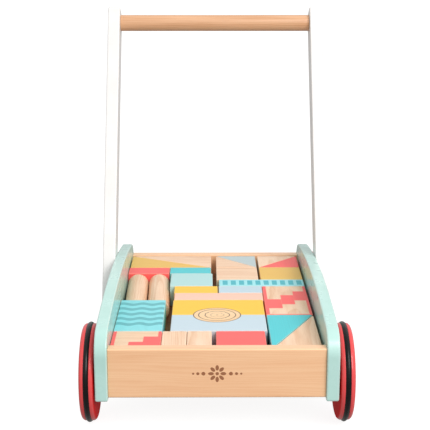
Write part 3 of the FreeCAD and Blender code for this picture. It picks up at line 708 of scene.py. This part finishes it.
def round_bar(half, radius, edge, steps):
    """Half section of a solid round bar from -half to half, closed on its axis."""
    section = turned_section([(-half, 0.0, 0.0), (half, 0.0, 0.0), (half, radius, edge),
                              (-half, radius, edge)], steps)
    return on_axis(section, half, -half)


def on_axis(section, first, last):
    """Replaces a section's corners on the axis by a pole at each end."""
    ends = [(Vector((along, 0)), Vector((way, 0)), 0.0)
            for along, way in ((first, 1), (last, math.copysign(1, last)))]
    return ends[:1] + [point for point in section if point[0].y > 1.0] + ends[1:]


def new_solid():
    """An empty solid whose points know their wear, their way out and if they are on an
    edge face."""
    solid = bmesh.new()
    solid.verts.layers.float.new("worn")
    solid.verts.layers.float.new("edge_face")
    solid.verts.layers.float_vector.new("facing")
    return solid


def add_point(solid, place, facing, worn, edge_face=0.0):
    vert = solid.verts.new(place)
    vert[solid.verts.layers.float["worn"]] = worn
    vert[solid.verts.layers.float["edge_face"]] = edge_face
    vert[solid.verts.layers.float_vector["facing"]] = facing
    return vert


def skin(solid, rings, closed=False):
    """Quads between rings of points that each go once round."""
    pairs = list(zip(rings, rings[1:]))
    if closed:
        pairs.append((rings[-1], rings[0]))
    for lower, upper in pairs:
        count = len(lower)
        for k in range(count):
            ahead = (k + 1) % count
            solid.faces.new((lower[k], lower[ahead], upper[ahead], upper[k]))


def slab(outline, thick, edge, holes=(), hole_edge=0.3, steps=4):
    """Flat piece from 0 to thick with rounded edges, and holes straight through."""
    solid = new_solid()
    low_loops, high_loops = [], []
    for k, loop in enumerate([outline, *holes]):
        soft = edge if k == 0 else hole_edge
        rings = []
        for upper in (False, True):
            for step in (range(steps, -1, -1) if upper else range(steps + 1)):
                turn = math.pi / 2 * step / steps
                inset = soft * (1 - math.sin(turn))
                rise = soft * (1 - math.cos(turn))
                lean = math.cos(turn) * (1 if upper else -1)
                ring = []
                for place, out, worn in loop:
                    at = place - out * inset
                    facing = (out.x * math.sin(turn), out.y * math.sin(turn), lean)
                    mark = max(worn * math.sin(turn), math.sin(2 * turn)) if k == 0 else 0.0
                    ring.append(add_point(solid, (*at, thick - rise if upper else rise),
                                          facing, mark, math.sin(turn)))
                rings.append(ring)
        skin(solid, rings)
        low_loops.append(rings[0])
        high_loops.append(rings[-1])
    if holes:
        for loops, up in ((low_loops, -1), (high_loops, 1)):
            rim = [solid.edges.get((loop[k], loop[k - 1]))
                   for loop in loops for k in range(len(loop))]
            bmesh.ops.triangle_fill(solid, use_beauty=True, edges=rim, normal=(0, 0, up))
    else:
        solid.faces.new(list(reversed(low_loops[0])))
        solid.faces.new(high_loops[0])
    return solid


def plain(angle):
    """A round section reaches equally far at every angle."""
    return 1.0


def hexagon(angle):
    """How far a hexagon's edge is at an angle, as a share of its corner radius."""
    sixth = math.tau / 6
    return math.cos(sixth / 2) / math.cos(angle % sixth - sixth / 2)


def cross(angle):
    """How far a cross-shaped slot reaches at an angle, as a share of its arm."""
    quarter = math.tau / 4
    off = abs((angle + quarter / 2) % quarter - quarter / 2)
    return min(1.0, 0.27 / max(math.sin(off), 1e-6))


def turned(section, steps=96, shapes=None):
    """Piece turned about its own X axis. A section that starts and ends on the axis
    closes in a pole at each end; otherwise it goes round into itself."""
    solid = new_solid()
    shapes = shapes or {}
    rings, poles = [], []
    for k, (place, out, worn) in enumerate(section):
        along, radius = place
        if radius < 0.05:
            poles.append(add_point(solid, (along, 0, 0), (out.x, 0, 0), 0.0))
            continue
        shape = shapes.get(k, plain)
        ring = []
        for step in range(steps):
            angle = math.tau * step / steps
            reach = radius * shape(angle)
            ring.append(add_point(
                solid, (along, reach * math.cos(angle), reach * math.sin(angle)),
                (out.x, out.y * math.cos(angle), out.y * math.sin(angle)), worn))
        rings.append(ring)
    skin(solid, rings, closed=not poles)
    if poles:
        for pole, ring in ((poles[0], rings[0]), (poles[-1], rings[-1])):
            for k in range(steps):
                solid.faces.new((pole, ring[k], ring[(k + 1) % steps]))
    bmesh.ops.recalc_face_normals(solid, faces=solid.faces)
    return solid


# ---------------------------------------------------------------- finishing a piece

def sawn(along=0, pith=(35.0, 110.0), lean=2.5):
    """How a piece sat in the trunk: from its own millimetres to distances along the
    trunk and out from the pith."""
    axes = Matrix([[1.0 if (column - row) % 3 == along else 0.0 for column in range(3)]
                   for row in range(3)])
    off = Euler([0.0] + [math.radians(lumber.uniform(-lean, lean)) for _ in range(2)])
    away, turn = lumber.uniform(*pith), lumber.uniform(0.0, math.tau)
    start = Vector((lumber.uniform(0.0, 3000.0), away * math.cos(turn),
                    away * math.sin(turn)))
    return Matrix.Translation(start) @ (off.to_matrix() @ axes).to_4x4()


def ride_along(item, body, slot, *nodes):
    """Ties a finished piece to its body and hides the parts it stands for. slot is not used.
    """
    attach(item, body)
    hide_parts(*nodes)
    return item


def piece(name, solid, put, finish, body, slot, nodes, trunk=None):
    """Sets a solid in place, with its grain and shading, as a piece of the walker."""
    place = solid.verts.layers.float_vector.new("place")
    grain = solid.verts.layers.float_vector.new("grain")
    trunk = trunk or Matrix.Identity(4)
    for vert in solid.verts:
        vert[place] = vert.co
        vert[grain] = trunk @ vert.co
    mesh = bpy.data.meshes.new(name)
    solid.to_mesh(mesh)
    solid.free()
    turn = put.to_3x3()
    facing = [turn @ item.vector for item in mesh.attributes["facing"].data]
    mesh.attributes.remove(mesh.attributes["facing"])
    mesh.transform(Matrix.Scale(MM, 4) @ put)
    mesh.shade_smooth()
    mesh.normals_split_custom_set_from_vertices([tuple(f.normalized()) for f in facing])
    mesh.materials.append(FINISHES[finish])
    return ride_along(add_object(name, mesh), body, slot, *nodes)


# local x, y, z of a slab become the walker's y, z, x
SIDEWAYS = Matrix(((0, 0, 1, 0), (1, 0, 0, 0), (0, 1, 0, 0), (0, 0, 0, 1)))


def at(x, y, z):
    """Moves a piece to a place given in millimetres."""
    return Matrix.Translation((x, y, z))


# ---------------------------------------------------------------- side panels and boards

front_low, front_high = span("front_board")
back_low, back_high = span("back_board")
FACE = front_low.y
AXLE_HIGH = (span("front_axle")[0].z + span("front_axle")[1].z) / 2
AXLE_PLACES = {end: (span(end + "_axle")[0].y + span(end + "_axle")[1].y) / 2
               for end in ENDS}
BOARD_MIDDLES = (front_low.y + BOARD_THICK / 2, back_low.y + BOARD_THICK / 2)
SCREW_HIGH = AXLE_HIGH + SCREW_LEVEL


def panel_outline(low, high):
    """Crowned side panel seen from the side: along the walker and up."""
    front, rear, bottom, top = low.y, high.y, low.z, high.z
    crest = FACE + CREST_SETBACK
    reach = rear - crest
    radius = (reach * reach + CROWN_DROP * CROWN_DROP) / (2 * CROWN_DROP)
    centre = Vector((crest, top - radius))

    def corner(x, rounding, side):
        inner = x - side * rounding
        rise = math.sqrt((radius - rounding) ** 2 - (inner - crest) ** 2)
        middle = Vector((inner, centre.y + rise))
        return middle, math.atan2(middle.y - centre.y, middle.x - centre.x)

    rear_middle, rear_turn = corner(rear, REAR_CORNER, 1)
    front_middle, front_turn = corner(front, FRONT_CORNER, -1)
    soft = EDGE_ROUND * 1.3
    outline = arc((front + soft, bottom + soft), soft, math.pi, math.pi * 1.5, 5, 1.0)
    outline += arc((rear - soft, bottom + soft), soft, -math.pi / 2, 0.0, 5, 1.0)
    outline += arc(rear_middle, REAR_CORNER, 0.0, rear_turn, 14)
    outline += arc(centre, radius, rear_turn, front_turn, 48)[1:-1]
    outline += arc(front_middle, FRONT_CORNER, front_turn, math.pi, 14)
    return outline


for side in SIDES:
    low, high = span("side_panel_" + side)
    holes = [hole((AXLE_PLACES[end], AXLE_HIGH), AXLE_HOLE) for end in AXLE_PLACES]
    holes += [hole((middle, SCREW_HIGH), SCREW_HEAD_HOLE) for middle in BOARD_MIDDLES]
    piece("panel_" + side, slab(panel_outline(low, high), high.x - low.x, EDGE_ROUND, holes),
          at(low.x, 0, 0) @ SIDEWAYS, "mint_paint", FRAME_BODY, "mint_paint",
          ["side_panel_" + side], sawn(0, (200.0, 320.0)))

for end, low, high, finish in (("front", front_low, front_high, "front_wood"),
                               ("back", back_low, back_high, "natural_wood")):
    outline = rectangle(high.y - low.y, high.z - low.z, EDGE_ROUND)
    piece(end + "_cross_board", slab(outline, high.x - low.x, 0.8),
          at(low.x, low.y, low.z) @ SIDEWAYS, finish, FRAME_BODY, "natural_wood",
          [end + "_board"], sawn(2, (60.0, 90.0), 1.2))

low, high = span("base_board")
outline = rectangle(high.x - low.x, high.y - low.y, 1.0)
piece("tray_floor", slab(outline, high.z - low.z, 0.4), at(*low), "plywood", FRAME_BODY,
      "plywood", ["base_board"], sawn(0, (150.0, 200.0), 1.0))


# ---------------------------------------------------------------- handle

bar_low, bar_high = span("handle_bar")
BAR = (bar_low + bar_high) / 2
LEANING = Matrix.Rotation(-POST_LEAN, 4, "X")


def down_post(level):
    """Distance from the bar down the post's middle line to a level over the axles."""
    return (BAR.z - AXLE_HIGH - level) / math.cos(POST_LEAN)


for side in SIDES:
    low, high = span("handle_post_" + side)
    half, foot = POST_WIDTH / 2, -down_post(POST_FOOT)
    outline = rounded([(-half, foot), (half, foot), (half, POST_OVER),
                       (-half, POST_OVER)], POST_END_ROUND, 10)
    outline = [(place, out, 0.0) for place, out, _ in outline]
    holes = [hole((0, 0), SCREW_HEAD_HOLE)]
    holes += [hole((0, -down_post(level)), BOLT_SINK_RADIUS) for level in BOLT_LEVELS]
    piece("post_" + side, slab(outline, high.x - low.x, EDGE_ROUND, holes),
          at(low.x, BAR.y, BAR.z) @ LEANING @ SIDEWAYS, "white_paint", FRAME_BODY,
          "white_paint", ["handle_post_" + side], sawn(1, (60.0, 120.0), 1.0))

half = (bar_high.x - bar_low.x) / 2
radius = (bar_high.z - bar_low.z) / 2
piece("grip_bar", turned(round_bar(half, radius, 0.5, 6), 96), at(*BAR), "bar_wood",
      FRAME_BODY, "natural_wood", ["handle_bar"], sawn(0, (14.0, 22.0), 1.5))


# ---------------------------------------------------------------- blocks

# name, finish, slot, grain along x (0) or y (1)
SQUARE_BLOCKS = [
    ("block_small_steps", "small_steps", "steps_block", 0),
    ("block_plain_one", "plain_block", "plain_block", 1),
    ("block_plain_two", "plain_block", "plain_block", 1),
    ("block_coral", "coral_block", "coral_block", 0),
    ("block_waves", "waves_block", "waves_block", 1),
    ("block_log", "log_block", "log_block", 0),
    ("block_large_steps", "large_steps", "steps_block", 1),
    ("plank_pink", "pink_block", "pink_block", 0),
    ("plank_yellow", "yellow_block", "yellow_block", 0),
    ("plank_pale_blue", "pale_blue_block", "pale_blue_block", 0),
    ("plank_checker", "checker_block", "checker_block", 0),
    ("block_sky_blue", "sky_blue", "pale_blue_block", 0),
    ("plank_teal", "teal_block", "teal_block", 0),
    ("plank_coral", "coral_block", "coral_block", 0),
    ("block_plain_rear", "plain_block", "plain_block", 0),
    ("block_yellow", "deep_yellow", "yellow_block", 0),
]

for name, finish, slot, along in SQUARE_BLOCKS:
    low, high = span(name)
    size = high - low
    piece(name + "_made", slab(rectangle(size.x, size.y, BLOCK_CORNER), size.z, BLOCK_ROUND),
          at(*low), finish, name, slot, [name], sawn(along))

# name, finish, slot, long or square, quarter turns of the square corner
PRISMS = [
    ("prism_teal", "teal_block", "teal_block", True, 3),
    ("prism_plain_front", "plain_block", "plain_block", True, 1),
    ("prism_yellow", "deep_yellow", "yellow_block", True, 0),
    ("prism_plain_long", "plain_block", "plain_block", True, 2),
    ("prism_plain_middle", "plain_block", "plain_block", False, 0),
    ("prism_grey_blue", "grey_blue_block", "grey_blue_block", False, 2),
    ("prism_plain_right", "plain_block", "plain_block", False, 3),
    ("prism_coral", "coral_block", "coral_block", False, 1),
]

for name, finish, slot, is_long, turns in PRISMS:
    low, high = span(name)
    corner = Vector((high.x if turns in (1, 2) else low.x,
                     high.y if turns in (2, 3) else low.y, low.z))
    leg = MODULE - SAW_GAP
    long_leg = 2 * MODULE - SAW_GAP if is_long else leg
    outline = rounded([(0, 0), (long_leg, 0), (0, leg)], BLOCK_CORNER)
    put = at(*corner) @ Matrix.Rotation(math.radians(90 * turns), 4, "Z")
    piece(name + "_made", slab(outline, high.z - low.z, BLOCK_ROUND), put, finish, name,
          slot, [name], sawn(0))

for name, askew in (("rod_left", 1.3), ("rod_right", 2.0)):
    low, high = span(name)
    middle = (low + high) / 2
    radius = (high.z - low.z) / 2
    section = round_bar(MODULE - ROD_SHORT / 2, radius, BLOCK_ROUND, 6)
    put = at(*middle) @ Matrix.Rotation(math.radians(askew - 90.0), 4, "Z")
    piece(name + "_made", turned(section, 96), put, "plain_block", name, "plain_block",
          [name], sawn(0, (20.0, 40.0)))


# ---------------------------------------------------------------- wheels

GROOVE_STEPS = 12


def wheel_section(thick, radius, ring_radius):
    """Half section of a wheel from its inner face at 0 to its outer face."""
    seat = RING_SECTION + 0.05
    reach = math.sqrt(seat ** 2 - (radius - ring_radius) ** 2)
    middle = thick / 2
    corners = [(0, BUSH_RADIUS, 0.2), (thick - RECESS_DEEP, BUSH_RADIUS, 0.2),
               (thick - RECESS_DEEP, RECESS_RADIUS, 0.4), (thick, RECESS_RADIUS, 1.0),
               (thick, radius, WHEEL_ROUND), (middle + reach, radius, 0.15)]
    start = math.atan2(radius - ring_radius, reach)
    for k in range(1, GROOVE_STEPS):
        angle = start - (start + math.pi + start) * k / GROOVE_STEPS
        corners.append((middle + seat * math.cos(angle),
                        ring_radius + seat * math.sin(angle), 0.0))
    corners += [(middle - reach, radius, 0.15), (0, radius, WHEEL_ROUND)]
    return turned_section(corners, 6)


def bush_section(length):
    """Half section of a bush: a tube, and a flange beyond its outer end."""
    reach = length + BUSH_FLANGE
    return turned_section([(0, AXLE_BORE, 0.15), (reach, AXLE_BORE, 0.15),
                           (reach, BUSH_FLANGE_RADIUS, 0.4),
                           (length, BUSH_FLANGE_RADIUS, 0.15), (length, BUSH_RADIUS, 0.1),
                           (0, BUSH_RADIUS, 0.3)], 3)


for end in ENDS:
    for side, way in SIDES.items():
        corner = end + "_" + side
        body = corner + "_wheel_set"
        low, high = span(corner + "_wheel")
        tyre_low, tyre_high = span(corner + "_tyre")
        thick = high.x - low.x
        ring_radius = (tyre_high.z - tyre_low.z) / 2 - RING_SECTION
        inner_face = low.x if way > 0 else high.x
        put = at(inner_face, AXLE_PLACES[end], AXLE_HIGH)
        if way < 0:
            put = put @ Matrix.Rotation(math.pi, 4, "Z")
        put = put @ Matrix.Rotation(lumber.uniform(0, math.tau), 4, "X")
        section = wheel_section(thick, (high.z - low.z) / 2, ring_radius)
        piece(corner + "_disc", turned(section, 144), put, "wheel_coral", body,
              "wheel_coral", [corner + "_wheel"])
        bush_low, bush_high = span(corner + "_bush")
        section = bush_section(bush_high.x - bush_low.x - BUSH_FLANGE)
        piece(corner + "_sleeve", turned(section, 64), put, "nylon", body, "nylon",
              [corner + "_bush"])

for end in ENDS:
    section = round_bar(span(end + "_axle")[1].x, AXLE_RADIUS, 0.6, 3)
    piece(end + "_axle_bar", turned(section, 48), at(0, AXLE_PLACES[end], AXLE_HIGH),
          "steel", FRAME_BODY, "steel", [end + "_axle"])


# ---------------------------------------------------------------- rings and fasteners

def geometry_tree(name, inputs):
    """An empty geometry tree with a start mesh and the named inputs."""
    tree = bpy.data.node_groups.new(name, "GeometryNodeTree")
    tree.interface.new_socket("Geometry", in_out="INPUT", socket_type="NodeSocketGeometry")
    for title, kind in inputs:
        tree.interface.new_socket(title, in_out="INPUT", socket_type="NodeSocket" + kind)
    tree.interface.new_socket("Geometry", in_out="OUTPUT", socket_type="NodeSocketGeometry")
    bench = Bench(tree)
    entry = tree.nodes.new("NodeGroupInput")
    given = {socket.name: Signal(bench, socket) for socket in entry.outputs if socket.name}
    return bench, given


def instance_and_close(bench, given, item, finish):
    """Puts item on every start point, turned to its facing, and ends the tree."""
    facing = bench.node("GeometryNodeInputNamedAttribute", {"data_type": "FLOAT_VECTOR"},
                        {"Name": "facing"}, "Attribute")
    aligned = bench.node("FunctionNodeAlignRotationToVector", {"axis": "X"},
                         {"Vector": facing})
    twist = bench.node("FunctionNodeRandomValue", {"data_type": "FLOAT"},
                       {"Min_001": 0.0, "Max_001": given["Twist"],
                        "Seed": given["Seed"]}, "Value_001")
    spin = bench.node("FunctionNodeAxisAngleToRotation", None,
                      {"Axis": (1.0, 0.0, 0.0), "Angle": twist})
    turned_round = bench.node("FunctionNodeRotateRotation", {"rotation_space": "LOCAL"},
                              {"Rotation": aligned, "Rotate By": spin})
    spread = bench.node("GeometryNodeInstanceOnPoints", None,
                        {"Points": given["Geometry"], "Instance": item,
                         "Rotation": turned_round})
    real = bench.node("GeometryNodeRealizeInstances", None, {0: spread})
    coated = bench.node("GeometryNodeSetMaterial", None,
                        {"Geometry": real, "Material": FINISHES[finish]})
    bench.node("NodeGroupOutput", None, {0: coated})


def ring_tree(finish):
    """Rings of a rounded section, one on each start point: washers and tyres."""
    bench, given = geometry_tree("ring_" + finish, [
        ("Ring radius", "Float"), ("Section across", "Float"), ("Section along", "Float"),
        ("Corner round", "Float"), ("Flash", "Float"), ("Round steps", "Int"),
        ("Twist", "Float"), ("Seed", "Int")])
    path = bench.node("GeometryNodeCurvePrimitiveCircle", {"mode": "RADIUS"},
                      {"Resolution": given["Round steps"], "Radius": given["Ring radius"]})
    section = bench.node("GeometryNodeCurvePrimitiveQuadrilateral", {"mode": "RECTANGLE"},
                         {"Width": given["Section across"],
                          "Height": given["Section along"]})
    section = bench.node("GeometryNodeFilletCurve", {"mode": "POLY"},
                         {"Curve": section, "Count": 7, "Radius": given["Corner round"],
                          "Limit Radius": True})
    # mould flash: a fine lip where the two halves of a mould met
    where = bench.node("GeometryNodeInputPosition")
    sides = bench.parts(where)
    lip = bench.step(abs(sides[1]), LIP_FOOT * MM, LIP_TOP * MM) * given["Flash"]
    push = bench.joined(sides[0].maths("SIGN", sides[0]) * lip, 0.0, 0.0)
    section = bench.node("GeometryNodeSetPosition", None,
                         {"Geometry": section, "Offset": push})
    swept = bench.node("GeometryNodeCurveToMesh", None,
                       {"Curve": path, "Profile Curve": section, "Fill Caps": False})
    spot = bench.stretched(bench.node("GeometryNodeInputPosition"), (1 / MM,) * 3)
    swept = bench.node("GeometryNodeStoreNamedAttribute",
                       {"data_type": "FLOAT_VECTOR", "domain": "POINT"},
                       {"Geometry": swept, "Name": "place", "Value": spot})
    # the circle is drawn flat, and its axis has to lie along X
    swept = bench.node("GeometryNodeTransform", None,
                       {"Geometry": swept, "Rotation": (0.0, math.pi / 2, 0.0)})
    instance_and_close(bench, given, swept, finish)
    return bench.tree


def fastener_tree(finish):
    """One fastener on each start point, each driven home to its own angle."""
    bench, given = geometry_tree("fastener_" + finish, [
        ("Fastener", "Object"), ("Size", "Float"), ("Twist", "Float"), ("Seed", "Int")])
    pattern = bench.node("GeometryNodeObjectInfo", {"transform_space": "ORIGINAL"},
                         {"Object": given["Fastener"]}, "Geometry")
    sized = bench.node("GeometryNodeTransform", None,
                       {"Geometry": pattern,
                        "Scale": bench.joined(given["Size"], given["Size"],
                                              given["Size"])})
    instance_and_close(bench, given, sized, finish)
    return bench.tree


def grow(name, spots, tree, sizes):
    """Runs a geometry tree on start points and keeps the result as a plain piece.
    Each spot is a place in millimetres and the way it faces along X."""
    start = bpy.data.meshes.new(name + "_start")
    start.from_pydata([Vector(place) * MM for place, way in spots], [], [])
    facing = start.attributes.new("facing", "FLOAT_VECTOR", "POINT")
    for k, (place, way) in enumerate(spots):
        facing.data[k].vector = (way, 0.0, 0.0)
    holder = add_object(name + "_start", start)
    modifier = holder.modifiers.new("grown", "NODES")
    modifier.node_group = tree
    for item in tree.interface.items_tree:
        if item.in_out == "INPUT" and item.name in sizes:
            modifier[item.identifier] = sizes[item.name]
    depsgraph = bpy.context.evaluated_depsgraph_get()
    mesh = bpy.data.meshes.new_from_object(holder.evaluated_get(depsgraph),
                                           preserve_all_data_layers=True,
                                           depsgraph=depsgraph)
    bpy.data.objects.remove(holder)
    solid = bmesh.new()
    solid.from_mesh(mesh)
    bmesh.ops.remove_doubles(solid, verts=solid.verts, dist=1e-7)
    bmesh.ops.recalc_face_normals(solid, faces=solid.faces)
    solid.to_mesh(mesh)
    solid.free()
    mesh.name = name
    mesh.shade_smooth()
    mesh.set_sharp_from_angle(angle=math.radians(38))
    return add_object(name, mesh)


def pattern_piece(name, solid):
    """A hidden pattern in metres for a tree to copy."""
    mesh = bpy.data.meshes.new(name)
    solid.to_mesh(mesh)
    solid.free()
    mesh.transform(Matrix.Scale(MM, 4))
    return add_object(name, mesh)


def headed(corners, socket_shape, socket_from, socket_to, steps=48):
    """A fastener whose head faces +X: a turned section with a shaped socket."""
    section = [(Vector((x, r)), Vector((1, 0)), 0.0) for x, r in corners]
    shapes = {k: socket_shape for k in range(socket_from, socket_to)}
    return turned(section, steps, shapes)


# along, radius, from the floor of the socket out over the head and down to the tip
COUNTERSUNK = [(-2.6, 0.0), (-2.4, 1.6), (-0.15, 2.5), (-0.12, 2.7), (-0.12, 4.15),
               (-0.35, 4.45), (-3.0, 2.25), (-40.0, 2.25), (-46.6, 0.6), (-47.0, 0.0)]
SOCKET_BOLT = [(-2.4, 0.0), (-2.2, 2.3), (-0.25, 2.3), (-0.1, 2.55), (-0.1, 5.55),
               (-0.45, 5.9), (-3.55, 6.0), (-3.6, 3.0), (-27.9, 3.0), (-28.6, 2.2),
               (-28.6, 0.0)]

fasteners = fastener_tree("steel")
screw = pattern_piece("screw_pattern", headed(COUNTERSUNK, cross, 1, 3))
bolt = pattern_piece("bolt_pattern", headed(SOCKET_BOLT, hexagon, 1, 4))

panel_outer = span("side_panel_right")[1].x
post_outer = span("handle_post_right")[1].x
sink_face = span("post_bolts")[1].x

washer_face = span("outer_washers")[1].x
inner_face = span("inner_washers")[1].x
CAP_HIGH = span("axle_caps")[1].x - washer_face
section = turned_section([(CAP_HIGH, 0.0, 0.0), (CAP_HIGH, CAP_RADIUS, 3.0),
                          (0.0, CAP_RADIUS, 0.2), (0.0, AXLE_BORE, 0.15),
                          (CAP_DEEP, AXLE_BORE, 0.15), (CAP_DEEP, 0.0, 0.0)], 7)
cap = pattern_piece("cap_pattern", turned(on_axis(section, CAP_HIGH, CAP_DEEP), 48))

# the part that it stands for, its pattern, largest twist, seed and start points
FASTENERS = [
    ("board_screws", screw, math.tau, 3,
     [((way * panel_outer, middle, SCREW_HIGH), way)
      for way in SIDES.values() for middle in BOARD_MIDDLES]),
    ("bar_screws", screw, math.tau, 8,
     [((way * post_outer, BAR.y, BAR.z), way) for way in SIDES.values()]),
    ("post_bolts", bolt, math.tau, 5,
     [((way * sink_face, BAR.y - down_post(level) * math.sin(POST_LEAN),
        AXLE_HIGH + level), way) for way in SIDES.values() for level in BOLT_LEVELS]),
    ("axle_caps", cap, 0.0, 0,
     [((way * washer_face, y, AXLE_HIGH), way)
      for y in AXLE_PLACES.values() for way in SIDES.values()]),
]
for node, pattern, twist, seed, spots in FASTENERS:
    item = grow(node + "_made", spots, fasteners,
                {"Fastener": pattern, "Size": 1.0, "Twist": twist, "Seed": seed})
    ride_along(item, FRAME_BODY, "steel", node)
for pattern in (screw, bolt, cap):
    bpy.data.objects.remove(pattern)


def ring_sizes(radius, across, along, corner, flash, steps):
    """Inputs of a ring tree from sizes in millimetres."""
    return {"Ring radius": radius * MM, "Section across": across * MM,
            "Section along": along * MM, "Corner round": corner * MM,
            "Flash": flash * MM, "Round steps": steps, "Twist": 0.0, "Seed": 0}


washers = ring_tree("steel")
for place, face in (("inner", inner_face), ("outer", washer_face)):
    spots = [((way * (face - WASHER_THICK / 2), y, AXLE_HIGH), way)
             for y in AXLE_PLACES.values() for way in SIDES.values()]
    item = grow(place + "_washers_made", spots, washers,
                ring_sizes(WASHER_MIDDLE, WASHER_ACROSS, WASHER_THICK, 0.2, 0.0, 64))
    ride_along(item, FRAME_BODY, "steel", place + "_washers")

tyres = ring_tree("ring_rubber")
for end in AXLE_PLACES:
    for side, way in SIDES.items():
        corner = end + "_" + side
        low, high = span(corner + "_tyre")
        thick = high.x - low.x
        radius = (high.z - low.z) / 2 - RING_FLASH - thick / 2
        spot = ((low.x + high.x) / 2, AXLE_PLACES[end], AXLE_HIGH)
        item = grow(corner + "_ring", [(spot, way)], tyres,
                    ring_sizes(radius, thick, thick, thick / 2, RING_FLASH, 160))
        ride_along(item, corner + "_wheel_set", "ring_rubber", corner + "_tyre")

for name, finish in (("corner_dowels", "dowel_wood"), ("post_inserts", "brass")):
    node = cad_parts[name]
    node.data.materials.clear()
    node.data.materials.append(FINISHES[finish])


# ---------------------------------------------------------------- floor, light and camera

def area_light(name, place, aim, power, size, colour):
    """A square soft light that faces its aim."""
    lamp = bpy.data.lights.new(name, "AREA")
    lamp.shape = "SQUARE"
    lamp.energy = power
    lamp.size = size
    lamp.color = colour
    item = add_object(name, lamp)
    item.location = place
    item.rotation_euler = (Vector(aim) - Vector(place)).to_track_quat("-Z", "Y").to_euler()


# in metres, as the lights and the camera
FLOOR_REACH = 30.0
FLOOR_GAP = 0.0002
FLOOR_GLOW = 0.90
KEY_PLACE = (1.2, -2.0, 1.9)
KEY_AIM = (0.0, 0.0, 0.15)
KEY_POWER = 58.0
KEY_SIZE = 1.5
CAMERA_PLACE = (-0.0091, -1.1304 + FACE * MM, 0.5462)
CAMERA_DOWN = math.radians(13.767)
CAMERA_ASIDE = math.radians(-0.334)
CAMERA_LENS = 87.07

floor_finish = Finish("studio_floor")
mottle = floor_finish.noise(floor_finish.own_place(), 1.3, 3.0)
floor_tone = floor_finish.dimmed((0.20, 0.20, 0.20), 0.97 + mottle * 0.06)
floor_finish.surface(floor_tone, 0.9, emission_color=(1.0, 1.0, 1.0, 1.0),
                     emission_strength=FLOOR_GLOW)
floor_mesh = bpy.data.meshes.new("studio_floor")
floor_mesh.from_pydata([(-FLOOR_REACH, -FLOOR_REACH, 0), (FLOOR_REACH, -FLOOR_REACH, 0),
                        (FLOOR_REACH, FLOOR_REACH, 0), (-FLOOR_REACH, FLOOR_REACH, 0)],
                       [], [(0, 1, 2, 3)])
floor_mesh.materials.append(floor_finish.material)
floor = add_object("studio_floor", floor_mesh)
floor.location.z = -FLOOR_GAP
# the floor looks white, but the light that it throws back is set by the studio below
floor.visible_diffuse = False
floor.visible_glossy = False

# white studio, paler overhead than from below
world = bpy.data.worlds.new("studio")
scene.world = world
world.use_nodes = True
studio = Bench(world.node_tree)
world.node_tree.nodes.clear()
around = studio.node("ShaderNodeTexCoord", None, None, "Generated")
overhead = studio.step(studio.parts(around)[2], -0.25, 0.35)
wall = studio.blend((0.40, 0.39, 0.38, 1.0), (0.86, 0.86, 0.86, 1.0), overhead)
seen = studio.node("ShaderNodeLightPath", None, None, "Is Camera Ray")
wall = studio.blend(wall, (1.0, 1.0, 1.0, 1.0), seen)
wall = studio.node("ShaderNodeBackground", None, {"Color": wall, "Strength": 1.0})
studio.node("ShaderNodeOutputWorld", None, {"Surface": wall})

area_light("key", KEY_PLACE, KEY_AIM, KEY_POWER, KEY_SIZE, (1.0, 0.985, 0.965))

camera_data = bpy.data.cameras.new("camera")
camera_data.sensor_width = 36.0
camera_data.lens = CAMERA_LENS
camera_data.clip_start = 0.05
camera_data.clip_end = 80.0
camera = add_object("camera", camera_data)
camera.location = CAMERA_PLACE
camera.rotation_euler = (math.pi / 2 - CAMERA_DOWN, 0.0, CAMERA_ASIDE)
bpy.context.scene.camera = camera

scene.view_settings.view_transform = "Standard"
scene.view_settings.look = "None"
